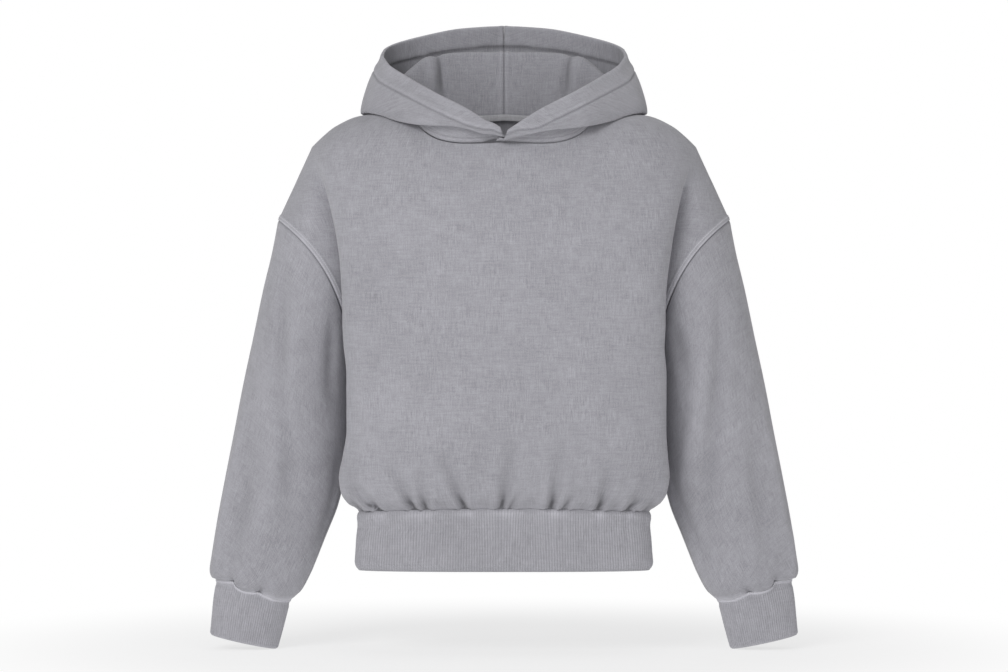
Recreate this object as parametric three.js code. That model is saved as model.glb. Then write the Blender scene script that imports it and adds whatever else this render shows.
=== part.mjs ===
// Pullover hoodie filled out with no wearer, in millimetres.
// X to the picture's right, Y to the back, Z up. Origin at the middle of the neck opening.
import * as THREE from 'three';

// Cloth walls and the gap left between sewn pieces
const FLEECE = 2.0;
const HEM_FLEECE = 3.1;
const RIB_WALL = 2.6;
const RIB_RAISE = 0.8;
const SEAM_GAP = 0.3;

// Seams of the body
const SIDE_Y = 15;
const ARMPIT_X = 196.5;
const ARMPIT_Z = -258;
const TIP_X = 283;
const TIP_Z = -124.5;
const FRONT_ARM = 57;
const BACK_ARM = 50;

// Fold from the armpit up to the shoulder, at each side of the chest and of the back
const FOLD_TOP_X = 240.5;
const FOLD_BOW = 44;
const FOLD_TUCK = 8;
const FOLD_DEPTH = 14;
const FOLD_FADE_FROM = 0.6;
const FOLD_FADE_TO = 0.92;
const ARM_BULGE = 3;
const ARM_BOW = 16;

// Exponents of the rounded sections
const SECTION_ROUND = 2.6;
const FRONT_ROUND = 2.6;
const BACK_ROUND = 4;
const FRONT_WIDE = 0.58;
const BACK_WIDE = 0.47;
const BACK_FULLER = 2;

// Neck opening seen from above
const NECK_HALF = 118;
const NECK_FRONT = 90;
const NECK_BACK = 60;
const NECK_ROUND_FRONT = 4;
const NECK_ROUND_BACK = 3;

// Body sections: height, half width, depth in front, depth behind, narrowing to the side seam, lean
const TORSO = table(['z', 'half', 'front', 'back', 'narrow', 'lean'], [
  [-558, 184.5, 93, 92, 3, 0],
  [-536, 183, 92, 91, 3, 0],
  [-500, 181, 92, 91, 3, 0],
  [-486, 180.5, 92, 91, 3, 0],
  [-475, 193, 101, 98, 5, 0],
  [-463, 200.5, 107, 102, 8, 0],
  [-443, 203.6, 112, 104, 11, 0.3],
  [-418, 200.2, 112.5, 104.5, 12, 1.6],
  [-385, 196.9, 112, 105, 12, 3],
  [-300, 197.3, 111, 105, 11, 3],
  [-258, 199.3, 110, 105, 2.8, 3],
  [-196, 203, 110, 105, 2.8, 2.6],
  [-148, 208, 110, 105, 2.8, 1.2],
  [-70, 220, 110, 105, 2.8, 0],
]);

// Shoulder ridge: distance from the middle and height
const RIDGE = table(['x', 'z'], [
  [0, 22], [118, 14], [150, 10], [181.3, 5.6], [210.2, -7], [226.8, -20], [240.5, -33.1],
]);

// Sleeve rings: place along the sleeve, outer and inner line, half depths, middle
const SLEEVE = table(['s', 'outX', 'outZ', 'inX', 'inZ', 'front', 'back', 'midY', 'bow'], [
  [0, TIP_X, TIP_Z, ARMPIT_X, ARMPIT_Z, FRONT_ARM, BACK_ARM, SIDE_Y, ARM_BOW],
  [0.08, 291, -165, 194.5, -284, 59, 53, 18, 9],
  [0.2, 302, -210, 194, -318, 60, 57, 21, 3],
  [0.35, 315, -272, 195, -364, 60, 58, 22, 0],
  [0.5, 328, -333, 196.5, -408, 58, 57, 21, 0],
  [0.63, 339, -392, 200, -446, 56, 55, 18, 0],
  [0.75, 350, -449, 207.5, -480, 52, 51, 15, 0],
  [0.85, 360.5, -507, 223, -520, 48, 47, 12, 0],
  [0.92, 366, -545, 236, -552, 44, 43, 10, 0],
  [0.97, 368.8, -569, 248, -579, 39, 38, 9, 0],
  [0.99, 367.5, -577, 257, -594, 34, 33, 8, 0],
  [1, 361.5, -580.5, 269, -603, 27, 27, 8, 0],
]);
const CUFF = table(['s', 'outX', 'outZ', 'inX', 'inZ', 'deep'], [
  [0, 361.5, -580.5, 269, -603, 27],
  [0.3, 364, -600, 274, -622, 26],
  [1, 367.5, -643, 284, -661, 25],
]);
const CUFF_Y = 8;
const CUFF_RIBS = 20;
const WAIST_RIBS = 80;
const WAIST_BOTTOM = -558;
const WAIST_SEAM = -486;
const WAIST_RISE = 5;
const WAIST_RISE_UP_TO = 50;
const WAIST_RISE_DOWN_TO = 30;
const LEAN_FADE = [20, 60];

// Hood, by the angle round the neck from the front: roll or underside, lower fold, opening edge
const HOOD = table(
  ['angle', 'rollX', 'rollY', 'rollZ', 'foldX', 'foldY', 'foldZ', 'edgeX', 'edgeY', 'edgeZ',
    'bulge', 'lift'], [
    [0, 0, -80, -31, 0, -87, -30, 0, -88, -22, 0, 0],
    [30, 49, -79, -15, 50.5, -88, -19, 43, -81, 7, 3, 0],
    [50, 94, -67, -10, 101, -75, -12, 88, -64, 31, 5, 0],
    [65, 117, -42, 1, 140, -42, -2, 120, -32, 51, 7, 0],
    [80, 131, -6, 11, 172, -3, 8, 146, 0, 70, 8, 1],
    [100, 134, 40, 38, 177, 30, 10, 154, 42, 86, 9, 8],
    [110, 114, 56, 60, 171, 62, 6, 153, 66, 93, 10, 11],
    [120, 93, 68, 79, 157, 98, -27, 149, 88, 99, 12, 14],
    [145, 62, 82, 88, 92, 124, -92, 105, 130, 116, 16, 16],
    [180, 0, 86, 90, 0, 130, -112, 0, 150, 132.6, 20, 18],
  ]);
const HOOD_KNOTS = [0, 0.1, 0.2, 0.27, 0.43, 0.6, 0.8, 1];
const HOOD_PAST_MIDDLE = 6;
const ROLL_OVER = 0.15;
const ROLL_DOWN = 0.55;
const FLAP_LIFT = 4.5;
const FLAP_LIFT_ANGLE = 34;
const FLAP_LIFT_WIDE = 17;
const HOOD_POINT_SLANT = 9;
const HOOD_POINT_TO = 34;
const HOOD_MIDDLE_Y = 30;
const HOOD_LAYERS_APART = 2.3;
const LAYERS_FADE = [8, 26];
const UNDER_RISE_FADE = [7, 18];
const HOOD_UNDER_RISE = 3.6;
const HOOD_SEAM_GAP = 0.9;
const HEM_FROM = 0.87;
const BODY_CLEARANCE = 1.4;

// Gathers over the waistband: place at the seam, place at the top, height, depth, half width
const FRONT_GATHERS = table(['x', 'topX', 'high', 'deep', 'wide'], [
  [-176, -190, 30, 3, 7], [-151, -185, 34, 5.5, 7], [-107, -137, 66, 6, 7], [-94, -102, 30, 5, 5.5],
  [-72, -80, 20, 1.5, 8], [-45, -76, 88, 6.5, 7], [-24, -30, 20, 1.2, 8], [-4, 9, 92, 6, 7],
  [6, 12, 20, 3.5, 5], [30, 34, 20, 1.2, 8], [56, 72, 92, 6.5, 7], [71, 82, 24, 4, 5.5],
  [94, 100, 20, 1.5, 8], [114, 132, 72, 6, 7], [133, 138, 20, 1.5, 7], [151, 169, 34, 5, 7],
  [174, 186, 30, 3, 7],
]);
const BACK_GATHERS = table(['x', 'topX', 'high', 'deep', 'wide'], [
  [-172, -184, 36, 5, 8], [-143, -158, 64, 5, 9], [-112, -122, 30, 3.5, 8], [-84, -98, 78, 6, 9],
  [-52, -58, 34, 3.5, 8], [-20, -26, 86, 5.5, 9], [14, 16, 32, 3.5, 8], [44, 54, 74, 6, 9],
  [78, 84, 30, 3.5, 8], [108, 122, 82, 5.5, 9], [140, 148, 34, 4, 8], [171, 184, 40, 5, 8],
]);

const GATHER_SPREAD = 0.5;
const GATHER_FADE = 1.3;
const GATHERS_FROM_SIDE = 26;

// Long soft folds of a sleeve: angle round it, from, to, depth outwards, half width
const SLEEVE_FOLDS = table(['angle', 'from', 'to', 'high', 'wide'], [
  [78, 0.25, 0.8, -4, 16], [112, 0.1, 0.7, 3, 18], [150, 0.5, 1, 3, 12], [255, 0.2, 0.75, -4, 16],
  [215, 0.35, 0.95, 3, 16], [300, 0.5, 0.95, -3, 14],
]);

// Gathers of a sleeve over its cuff
const CUFF_GATHERS = 9;
const SLEEVE_FOLDS_FROM = 0.12;
const CUFF_GATHER_HIGH = 1.6;
const CUFF_GATHER_FROM = [0.86, 0.985];
const CUFF_GATHER_TO = [0.993, 1];

function table(names, rows) {
  const columns = {};
  names.forEach((name, i) => { columns[name] = rows.map((row) => row[i]); });
  columns.keys = columns[names[0]];
  return columns;
}

const lerp = (a, b, t) => a + (b - a) * t;
const clamp = (x, a, b) => Math.min(b, Math.max(a, x));
const smooth = (a, b, x) => {
  const t = clamp((x - a) / (b - a), 0, 1);
  return t * t * (3 - 2 * t);
};

// Value of a column at x: cubic pieces that never swing past the entries
function at(tab, name, x) {
  const k = tab.keys;
  const v = tab[name];
  const last = k.length - 1;
  if (x <= k[0]) return v[0];
  if (x >= k[last]) return v[last];
  let i = 0;
  while (x > k[i + 1]) i += 1;
  const slope = (j) => (v[j + 1] - v[j]) / (k[j + 1] - k[j]);
  const tangent = (j) => {
    if (j === 0) return slope(0);
    if (j === last) return slope(last - 1);
    const a = slope(j - 1);
    const b = slope(j);
    return a * b <= 0 ? 0 : (2 * a * b) / (a + b);
  };
  const h = k[i + 1] - k[i];
  const t = (x - k[i]) / h;
  const t2 = t * t;
  const t3 = t2 * t;
  return v[i] * (2 * t3 - 3 * t2 + 1) + h * tangent(i) * (t3 - 2 * t2 + t)
    + v[i + 1] * (3 * t2 - 2 * t3) + h * tangent(i + 1) * (t3 - t2);
}

// Which half of the body: the front reaches towards -Y, the back towards +Y
const FRONT = { sign: -1, column: 'front', wide: FRONT_WIDE, round: FRONT_ROUND, arm: FRONT_ARM };
const BACK = { sign: 1, column: 'back', wide: BACK_WIDE, round: BACK_ROUND, arm: BACK_ARM };

// Half section at a height: widths and depths measured from the plane of the side seams
function section(half, z) {
  const seam = at(TORSO, 'half', z) - at(TORSO, 'narrow', z);
  const wide = half.sign < 0 ? at(TORSO, 'half', z) : seam + BACK_FULLER;
  const deep = at(TORSO, half.column, z) - half.sign * SIDE_Y;
  return { wide, seam, deep, belt: deep * half.wide };
}

const fall = (w, round) => (1 - clamp(w, 0, 1) ** round) ** (1 / round);

// Point of the upper body: xi across from the middle to the fold, w up from armpit to ridge
function upperPoint(half, xi, w) {
  const s = section(half, ARMPIT_Z);
  const x = xi * lerp(s.wide, FOLD_TOP_X, w) - FOLD_BOW * w * (1 - w) * xi * xi;
  const deep = s.belt + (s.deep - s.belt) * fall(xi, SECTION_ROUND);
  const z = lerp(ARMPIT_Z, at(RIDGE, 'z', xi * FOLD_TOP_X), w);
  return [x, SIDE_Y + half.sign * deep * fall(w, half.round), z];
}

// How far up w goes before the neck opening cuts the cloth
function neckLimit(half, xi) {
  const reach = half.sign < 0 ? NECK_FRONT : NECK_BACK;
  const round = half.sign < 0 ? NECK_ROUND_FRONT : NECK_ROUND_BACK;
  const outside = (w) => {
    const p = upperPoint(half, xi, w);
    return (p[0] / NECK_HALF) ** round + (Math.abs(p[1] - SIDE_Y) / reach) ** round - 1;
  };
  if (outside(1) >= 0) return 1;
  let low = 0;
  let high = 1;
  for (let i = 0; i < 40; i += 1) {
    const mid = (low + high) / 2;
    if (outside(mid) > 0) low = mid; else high = mid;
  }
  return (low + high) / 2;
}

// Armhole seam seen from the front, and the way across it towards the sleeve
const ARM_ACROSS = [(TIP_Z - ARMPIT_Z), 0, (ARMPIT_X - TIP_X)]
  .map((v) => v / Math.hypot(TIP_X - ARMPIT_X, TIP_Z - ARMPIT_Z));
function armholePoint(w) {
  const bow = ARM_BOW * 4 * w * (1 - w);
  return [lerp(ARMPIT_X, TIP_X, w) - bow * ARM_ACROSS[0], 0,
    lerp(ARMPIT_Z, TIP_Z, w) - bow * ARM_ACROSS[2]];
}
function armholeSide(w) {
  const step = 0.01;
  const a = armholePoint(w - step);
  const b = armholePoint(w + step);
  const n = Math.hypot(b[0] - a[0], b[2] - a[2]);
  return [(b[2] - a[2]) / n, 0, (a[0] - b[0]) / n];
}

// Dense half row from the middle to the side: level below the armpit, w above it
const SOFT_FROM = [0.75, 0.95];
const ARC_STEPS = 60;
const SIDE_STEPS = 24;
function denseRow(half, z, w) {
  const line = [];
  if (w <= 0) {
    const s = section(half, z);
    for (let k = 0; k <= ARC_STEPS; k += 1) {
      const xi = Math.sin((k / ARC_STEPS) * Math.PI / 2) ** (2 / SECTION_ROUND);
      const deep = s.belt + (s.deep - s.belt) * fall(xi, SECTION_ROUND);
      line.push([s.wide * xi, SIDE_Y + half.sign * deep, z, smooth(...SOFT_FROM, xi)]);
    }
    for (let k = 1; k <= SIDE_STEPS; k += 1) {
      const t = k / SIDE_STEPS;
      line.push([lerp(s.wide, s.seam, (1 - Math.cos(Math.PI * t)) / 2),
        SIDE_Y + half.sign * s.belt * (1 - t), z, 1]);
    }
    return line;
  }
  for (let k = 0; k <= ARC_STEPS; k += 1) {
    const xi = Math.sin((k / ARC_STEPS) * Math.PI / 2) ** (2 / SECTION_ROUND);
    const p = upperPoint(half, xi, w * (1 - (1 - neckLimit(half, xi)) * w * w));
    line.push([...p, smooth(...SOFT_FROM, xi)]);
  }
  const edge = line[ARC_STEPS];
  const edgeDeep = Math.abs(edge[1] - SIDE_Y);
  const armDeep = half.arm * 2 * Math.sqrt(w * (1 - w));
  const creaseDeep = lerp(armDeep - FOLD_DEPTH * 4 * w * (1 - w), edgeDeep,
    smooth(FOLD_FADE_FROM, FOLD_FADE_TO, w));
  const s = section(half, ARMPIT_Z);
  const tuck = (s.wide - s.seam) * (1 - w) + FOLD_TUCK * smooth(0, 0.3, w)
    * (1 - smooth(FOLD_FADE_FROM, FOLD_FADE_TO, w));
  for (let k = 1; k <= SIDE_STEPS; k += 1) {
    const t = k / SIDE_STEPS;
    line.push([edge[0] - tuck * (1 - Math.cos(Math.PI * t)) / 2,
      SIDE_Y + half.sign * lerp(edgeDeep, creaseDeep, t), edge[2], 1]);
  }
  const crease = line[line.length - 1];
  const end = armholePoint(w);
  for (let k = 1; k <= SIDE_STEPS; k += 1) {
    const t = k / SIDE_STEPS;
    const bulge = ARM_BULGE * 4 * t * (1 - t) * 4 * w * (1 - w);
    line.push([lerp(crease[0], end[0], t),
      SIDE_Y + half.sign * (lerp(creaseDeep, armDeep, t) + bulge), lerp(crease[2], end[2], t), 1]);
  }
  return line;
}

function lengths(line) {
  const run = [0];
  for (let i = 1; i < line.length; i += 1) {
    run.push(run[i - 1] + Math.hypot(...[0, 1, 2].map((a) => line[i][a] - line[i - 1][a])));
  }
  return run;
}

function resample(line, places) {
  const run = lengths(line);
  const total = run[run.length - 1];
  let i = 0;
  return places.map((f) => {
    const want = clamp(f, 0, 1) * total;
    while (i < run.length - 2 && run[i + 1] < want) i += 1;
    while (i > 0 && run[i] > want) i -= 1;
    const t = clamp((want - run[i]) / Math.max(1e-9, run[i + 1] - run[i]), 0, 1);
    return line[i].map((v, a) => lerp(v, line[i + 1][a], t));
  });
}

// Round the crease of a dense row, leaving the neck and the ends as they are
const ROUNDING_FROM_Z = -340;
const ROUNDING_STEPS = 120;
const ROUNDING_PASSES = 10;
function rounded(line, amount) {
  const even = Array.from({ length: ROUNDING_STEPS + 1 }, (_, i) => i / ROUNDING_STEPS);
  let points = resample(line, even);
  for (let pass = 0; pass < ROUNDING_PASSES; pass += 1) {
    points = points.map((p, i) => {
      if (i === 0 || i === ROUNDING_STEPS) return p;
      const m = p[3] * amount;
      return p.map((v, a) => (a > 2 ? v
        : v + m * ((points[i - 1][a] + points[i + 1][a]) / 4 - v / 2)));
    });
  }
  return points;
}

// Share of a half row at which the neck point lies
const NECK_SHARE = 0.4;
function neckShare(half, line, w) {
  if (w <= 0) return NECK_SHARE;
  const run = lengths(line);
  const want = NECK_HALF / FOLD_TOP_X;
  const place = (Math.asin(want ** (SECTION_ROUND / 2)) / (Math.PI / 2)) * ARC_STEPS;
  const i = Math.floor(place);
  const there = lerp(run[i], run[i + 1], place - i) / run[run.length - 1];
  return lerp(NECK_SHARE, there, smooth(0, 1, w));
}

function halfRow(half, z, w, columns) {
  const dense = denseRow(half, z, w);
  const share = neckShare(half, dense, w);
  const neckColumn = Math.round(columns * NECK_SHARE);
  const places = Array.from({ length: columns + 1 }, (_, i) => (i <= neckColumn
    ? (share * i) / neckColumn
    : share + ((1 - share) * (i - neckColumn)) / (columns - neckColumn)));
  const line = rounded(dense, w > 0 ? 1 - smooth(0.85, 1, w)
    : smooth(ROUNDING_FROM_Z, ARMPIT_Z, z));
  return resample(line, places).map((p) => p.slice(0, 3));
}

// The waist seam rises a little to the middle, and the body leans a little to one side
function settle(p) {
  const near = 1 - smooth(WAIST_SEAM, WAIST_SEAM + WAIST_RISE_UP_TO, p[2]);
  const rise = WAIST_RISE * (1 - (p[0] / at(TORSO, 'half', p[2])) ** 2) * near;
  const low = WAIST_SEAM - WAIST_RISE_DOWN_TO;
  const share = p[2] < WAIST_SEAM ? smooth(low, WAIST_SEAM, p[2]) : 1;
  const along = clamp(((Math.abs(p[0]) - ARMPIT_X) * (TIP_X - ARMPIT_X)
    + (p[2] - ARMPIT_Z) * (TIP_Z - ARMPIT_Z))
    / ((TIP_X - ARMPIT_X) ** 2 + (TIP_Z - ARMPIT_Z) ** 2), 0, 1);
  const far = Math.hypot(Math.abs(p[0]) - lerp(ARMPIT_X, TIP_X, along),
    p[2] - lerp(ARMPIT_Z, TIP_Z, along));
  const lean = at(TORSO, 'lean', p[2]) * smooth(...LEAN_FADE, far);
  return [p[0] + lean, p[1], p[2] + Math.max(0, rise) * share];
}

function gatherDepth(tab, x, above) {
  let sum = 0;
  for (let i = 0; i < tab.keys.length; i += 1) {
    const up = clamp(above / tab.high[i], 0, 1);
    const mid = lerp(tab.x[i], tab.topX[i], up);
    const width = tab.wide[i] * (1 + GATHER_SPREAD * up);
    sum -= tab.deep[i] * Math.exp(-(((x - mid) / width) ** 2)) * (1 - up) ** GATHER_FADE;
  }
  return sum;
}

const minus = (a, b) => [a[0] - b[0], a[1] - b[1], a[2] - b[2]];
const cross = (a, b) => [a[1] * b[2] - a[2] * b[1], a[2] * b[0] - a[0] * b[2],
  a[0] * b[1] - a[1] * b[0]];
const unit = (a) => {
  const n = Math.hypot(...a) || 1;
  return [a[0] / n, a[1] / n, a[2] / n];
};
const dot = (a, b) => a[0] * b[0] + a[1] * b[1] + a[2] * b[2];
const move = (p, d, by) => [p[0] + d[0] * by, p[1] + d[1] * by, p[2] + d[2] * by];

// Outward normals of a grid whose rows run one way round and whose rows are stacked upwards
function normals(grid, closed, turn) {
  const rows = grid.length;
  const cols = grid[0].length;
  return grid.map((row, j) => row.map((_, i) => {
    const left = closed ? row[(i - 1 + cols) % cols] : row[Math.max(0, i - 1)];
    const right = closed ? row[(i + 1) % cols] : row[Math.min(cols - 1, i + 1)];
    const below = grid[Math.max(0, j - 1)][i];
    const above = grid[Math.min(rows - 1, j + 1)][i];
    return unit(cross(minus(right, left), minus(above, below)).map((v) => v * turn));
  }));
}

// A closed wall between an outer and an inner grid
function wallMesh(name, outer, inner, closed, colour) {
  const rows = outer.length;
  const cols = outer[0].length;
  const flat = [...outer.flat(), ...inner.flat()].flat();
  const index = [];
  const o = (j, i) => j * cols + (i % cols);
  const n = (j, i) => rows * cols + j * cols + (i % cols);
  const quad = (a, b, c, d) => index.push(a, b, c, a, c, d);
  const spans = closed ? cols : cols - 1;
  for (let i = 0; i < spans; i += 1) {
    for (let j = 0; j < rows - 1; j += 1) {
      quad(o(j, i), o(j, i + 1), o(j + 1, i + 1), o(j + 1, i));
      quad(n(j, i), n(j + 1, i), n(j + 1, i + 1), n(j, i + 1));
    }
    quad(o(0, i), n(0, i), n(0, i + 1), o(0, i + 1));
    quad(o(rows - 1, i), o(rows - 1, i + 1), n(rows - 1, i + 1), n(rows - 1, i));
  }
  if (!closed) {
    for (let j = 0; j < rows - 1; j += 1) {
      quad(o(j, 0), o(j + 1, 0), n(j + 1, 0), n(j, 0));
      quad(o(j, cols - 1), n(j, cols - 1), n(j + 1, cols - 1), o(j + 1, cols - 1));
    }
  }
  let volume = 0;
  const corner = (k) => flat.slice(3 * k, 3 * k + 3);
  for (let k = 0; k < index.length; k += 3) {
    volume += dot(corner(index[k]), cross(corner(index[k + 1]), corner(index[k + 2])));
  }
  if (volume < 0) {
    for (let k = 0; k < index.length; k += 3) {
      [index[k + 1], index[k + 2]] = [index[k + 2], index[k + 1]];
    }
  }
  const geometry = new THREE.BufferGeometry();
  geometry.setAttribute('position', new THREE.Float32BufferAttribute(flat, 3));
  geometry.setIndex(index);
  geometry.computeVertexNormals();
  const mesh = new THREE.Mesh(geometry,
    new THREE.MeshStandardMaterial({ name: `${name}_cloth`, color: colour, roughness: 0.95 }));
  mesh.name = name;
  return mesh;
}

// Keep a rim's wall on its own side of the plane in which its seam lies
function keepSide(offset, planeNormal, thick) {
  const over = dot(offset, planeNormal);
  if (over <= 0) return offset;
  return unit(move(offset, planeNormal, -over)).map((v) => v * thick);
}

// Heights of the body's rows below the armpit and places of those above it
const FRONT_LOW = [WAIST_SEAM, -480, -472, -461, -446, -428, -404, -362, -318, -280];
const BACK_LOW = [WAIST_SEAM, -479, -468, -452, -430, -390, -340, -285];
const FRONT_COLUMNS = 24;
const BACK_COLUMNS = 18;

// Places up the armhole at which the body's rows meet the points of the sleeve's first ring
const SLEEVE_COLUMNS = 24;
const ARMPIT_ROW = 1e-6;
const HIGH_ROWS = Array.from({ length: SLEEVE_COLUMNS / 2 + 1 }, (_, k) => Math.max(ARMPIT_ROW,
  (1 - Math.cos((2 * Math.PI * k) / SLEEVE_COLUMNS)) / 2));

function panel(name, half, low, columns, gathers) {
  const rows = [...low.map((z) => [z, 0]), ...HIGH_ROWS.map((w) => [ARMPIT_Z, w])];
  let grid = rows.map(([z, w]) => {
    const right = halfRow(half, z, w, columns);
    const left = right.slice(1).reverse().map((p) => [-p[0], p[1], p[2]]);
    return [...left, ...right].map(settle);
  });
  const turn = half.sign < 0 ? 1 : -1;
  const bare = normals(grid, false, turn);
  grid = grid.map((row, j) => row.map((p, i) => {
    const end = smooth(0, GATHERS_FROM_SIDE, Math.abs(p[1] - SIDE_Y));
    return move(p, bare[j][i], gatherDepth(gathers, p[0], p[2] - WAIST_SEAM) * end);
  }));
  const last = grid[0].length - 1;
  const inner = normals(grid, false, turn).map((row, j) => row.map((n, i) => {
    let offset = n.map((v) => -v * FLEECE);
    if (j === 0) offset = keepSide(offset, [0, 0, -1], FLEECE);
    if (i === 0 || i === last) {
      const out = i === 0 ? -1 : 1;
      if (rows[j][1] > 0) {
        const across = armholeSide(rows[j][1]);
        offset = keepSide(offset, [across[0] * out, 0, across[2]], FLEECE);
      }
      if (rows[j][1] < 0.01) offset = keepSide(offset, [0, -half.sign, 0], FLEECE);
    }
    if (j === grid.length - 1) offset = keepSide(offset, [0, -half.sign, 0], FLEECE);
    return [grid[j][i][0] + offset[0], grid[j][i][1] + offset[1], grid[j][i][2] + offset[2]];
  }));
  const part = (p) => [p[0], p[1] + (half.sign * SEAM_GAP) / 2, p[2]];
  return wallMesh(name, grid.map((r) => r.map(part)), inner.map((r) => r.map(part)), false,
    0x9d9ca2);
}

// Soft change of a sleeve's surface by place along it and angle round it
function sleeveRelief(s, angle, radius) {
  let sum = 0;
  for (let i = 0; i < SLEEVE_FOLDS.keys.length; i += 1) {
    const along = Math.sin(Math.PI * clamp((s - SLEEVE_FOLDS.from[i])
      / (SLEEVE_FOLDS.to[i] - SLEEVE_FOLDS.from[i]), 0, 1));
    const away = ((angle - SLEEVE_FOLDS.angle[i] + 540) % 360) - 180;
    const arc = (away * Math.PI * radius) / 180;
    sum += SLEEVE_FOLDS.high[i] * along * Math.exp(-((arc / SLEEVE_FOLDS.wide[i]) ** 2));
  }
  const gathered = smooth(...CUFF_GATHER_FROM, s) * (1 - smooth(...CUFF_GATHER_TO, s));
  return sum + CUFF_GATHER_HIGH * gathered * Math.sin((angle * Math.PI * CUFF_GATHERS) / 180);
}

function ring(tab, s, angle, front, back, midY) {
  const turn = (angle * Math.PI) / 180;
  const m = (1 - Math.cos(turn)) / 2;
  const deep = Math.sin(turn) > 0 ? front : back;
  const bow = tab.bow ? at(tab, 'bow', s) * Math.sin(turn) ** 2 : 0;
  return [lerp(at(tab, 'inX', s), at(tab, 'outX', s), m) - bow * ARM_ACROSS[0],
    midY - deep * Math.sin(turn),
    lerp(at(tab, 'inZ', s), at(tab, 'outZ', s), m) - bow * ARM_ACROSS[2]];
}

const SLEEVE_PLACES = [0, 0.06, 0.14, 0.24, 0.36, 0.48, 0.6, 0.72, 0.82, 0.9, 0.95, 0.975, 0.99, 1];

function sleeve(name, side) {
  const middle = (s) => [0, 1, 2].map((a) => (ring(SLEEVE, s, 0, 0, 0, at(SLEEVE, 'midY', s))[a]
    + ring(SLEEVE, s, 180, 0, 0, at(SLEEVE, 'midY', s))[a]) / 2);
  const grid = SLEEVE_PLACES.map((s) => Array.from({ length: SLEEVE_COLUMNS }, (_, i) => {
    const angle = (360 * i) / SLEEVE_COLUMNS;
    const p = ring(SLEEVE, s, angle, at(SLEEVE, 'front', s), at(SLEEVE, 'back', s),
      at(SLEEVE, 'midY', s));
    const out = minus(p, middle(s));
    const fade = smooth(0, SLEEVE_FOLDS_FROM, s);
    const q = move(p, unit(out), sleeveRelief(s, angle, Math.hypot(...out)) * fade);
    const w = (1 - Math.cos((angle * Math.PI) / 180)) / 2;
    return s > 0 ? q : move(q, armholeSide(w), SEAM_GAP);
  }));
  const last = grid.length - 1;
  const inner = normals(grid, true, 1).map((row, j) => row.map((n, i) => {
    const out = dot(n, minus(grid[j][i], middle(SLEEVE_PLACES[j]))) > 0 ? 1 : -1;
    let offset = n.map((v) => -v * FLEECE * out);
    const w = (1 - Math.cos((2 * Math.PI * i) / SLEEVE_COLUMNS)) / 2;
    if (j === 0) offset = keepSide(offset, armholeSide(w).map((v) => -v), FLEECE);
    if (j === last) offset = keepSide(offset, cuffAxis(), FLEECE);
    return [0, 1, 2].map((a) => grid[j][i][a] + offset[a]);
  }));
  const flip = (p) => [p[0] * side, p[1], p[2]];
  return wallMesh(name, grid.map((r) => r.map(flip)), inner.map((r) => r.map(flip)), true,
    0x99989e);
}

function cuffAxis() {
  return unit([at(CUFF, 'inZ', 0) - at(CUFF, 'outZ', 0), 0,
    at(CUFF, 'outX', 0) - at(CUFF, 'inX', 0)].map((v) => -v));
}

// A rib: one raised and one plain column each
function cuff(name, side) {
  const places = [0, 0.5, 0.96, 1];
  const cols = CUFF_RIBS * 2;
  const grid = [];
  const inner = [];
  places.forEach((s, j) => {
    const out = [];
    const inn = [];
    for (let i = 0; i < cols; i += 1) {
      const angle = (360 * i) / cols;
      const deep = at(CUFF, 'deep', s);
      const p = ring(CUFF, s, angle, deep, deep, CUFF_Y);
      const mid = ring(CUFF, s, 90, 0, 0, CUFF_Y);
      const away = unit(minus(p, mid));
      const axis = cuffAxis();
      const edge = s === 1 ? -1 : 0;
      const base = s === 0 ? move(p, axis, SEAM_GAP) : p;
      out.push(move(base, away, (i % 2) * RIB_RAISE * (s > 0 && s < 1 ? 1 : 0) + edge));
      inn.push(move(base, away, -RIB_WALL));
    }
    grid[j] = out;
    inner[j] = inn;
  });
  const flip = (p) => [p[0] * side, p[1], p[2]];
  return wallMesh(name, grid.map((r) => r.map(flip)), inner.map((r) => r.map(flip)), true,
    0x97969c);
}

function waistband(name) {
  const places = [WAIST_SEAM, -505, WAIST_BOTTOM + 4, WAIST_BOTTOM];
  const quarter = WAIST_RIBS / 2;
  const build = (z) => {
    const front = halfRow(FRONT, z, 0, quarter);
    const back = halfRow(BACK, z, 0, quarter);
    const right = [...front.slice(0, -1), ...back.slice(1).reverse(), back[0]];
    const left = right.slice(1, -1).reverse().map((p) => [-p[0], p[1], p[2]]);
    return [...right, ...left].map(settle);
  };
  const plain = places.map(build);
  const flat = normals(plain, true, -1);
  const shaped = (raise) => plain.map((row, j) => row.map((p, i) => {
    const n = unit([flat[j][i][0], flat[j][i][1], 0]);
    return move(p, n, raise(j, i));
  }));
  const last = places.length - 1;
  const outer = shaped((j, i) => (j > 0 && j < last ? (i % 2) * RIB_RAISE : 0)
    - (j === last ? 1 : 0));
  const inner = shaped(() => -RIB_WALL);
  const drop = (row, j) => row.map((p) => (j === 0 ? [p[0], p[1], p[2] - SEAM_GAP] : p));
  return wallMesh(name, outer.map(drop), inner.map(drop), true, 0x949399);
}

// Height of the body's upper surface under a point, or nothing where the body doesn't reach
function bodyTop(x, y) {
  const half = y < SIDE_Y ? FRONT : BACK;
  const s = section(half, ARMPIT_Z);
  let w = 0.9;
  let xi = 0;
  for (let i = 0; i < 12; i += 1) {
    xi = clamp(Math.abs(x) / (lerp(s.wide, FOLD_TOP_X, w) - FOLD_BOW * w * (1 - w) * xi), 0, 1);
    const deep = s.belt + (s.deep - s.belt) * fall(xi, SECTION_ROUND);
    const share = Math.abs(y - SIDE_Y) / deep;
    if (share >= 1) return -Infinity;
    w = fall(share, half.round);
  }
  return lerp(ARMPIT_Z, at(RIDGE, 'z', xi * FOLD_TOP_X), w);
}

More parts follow.
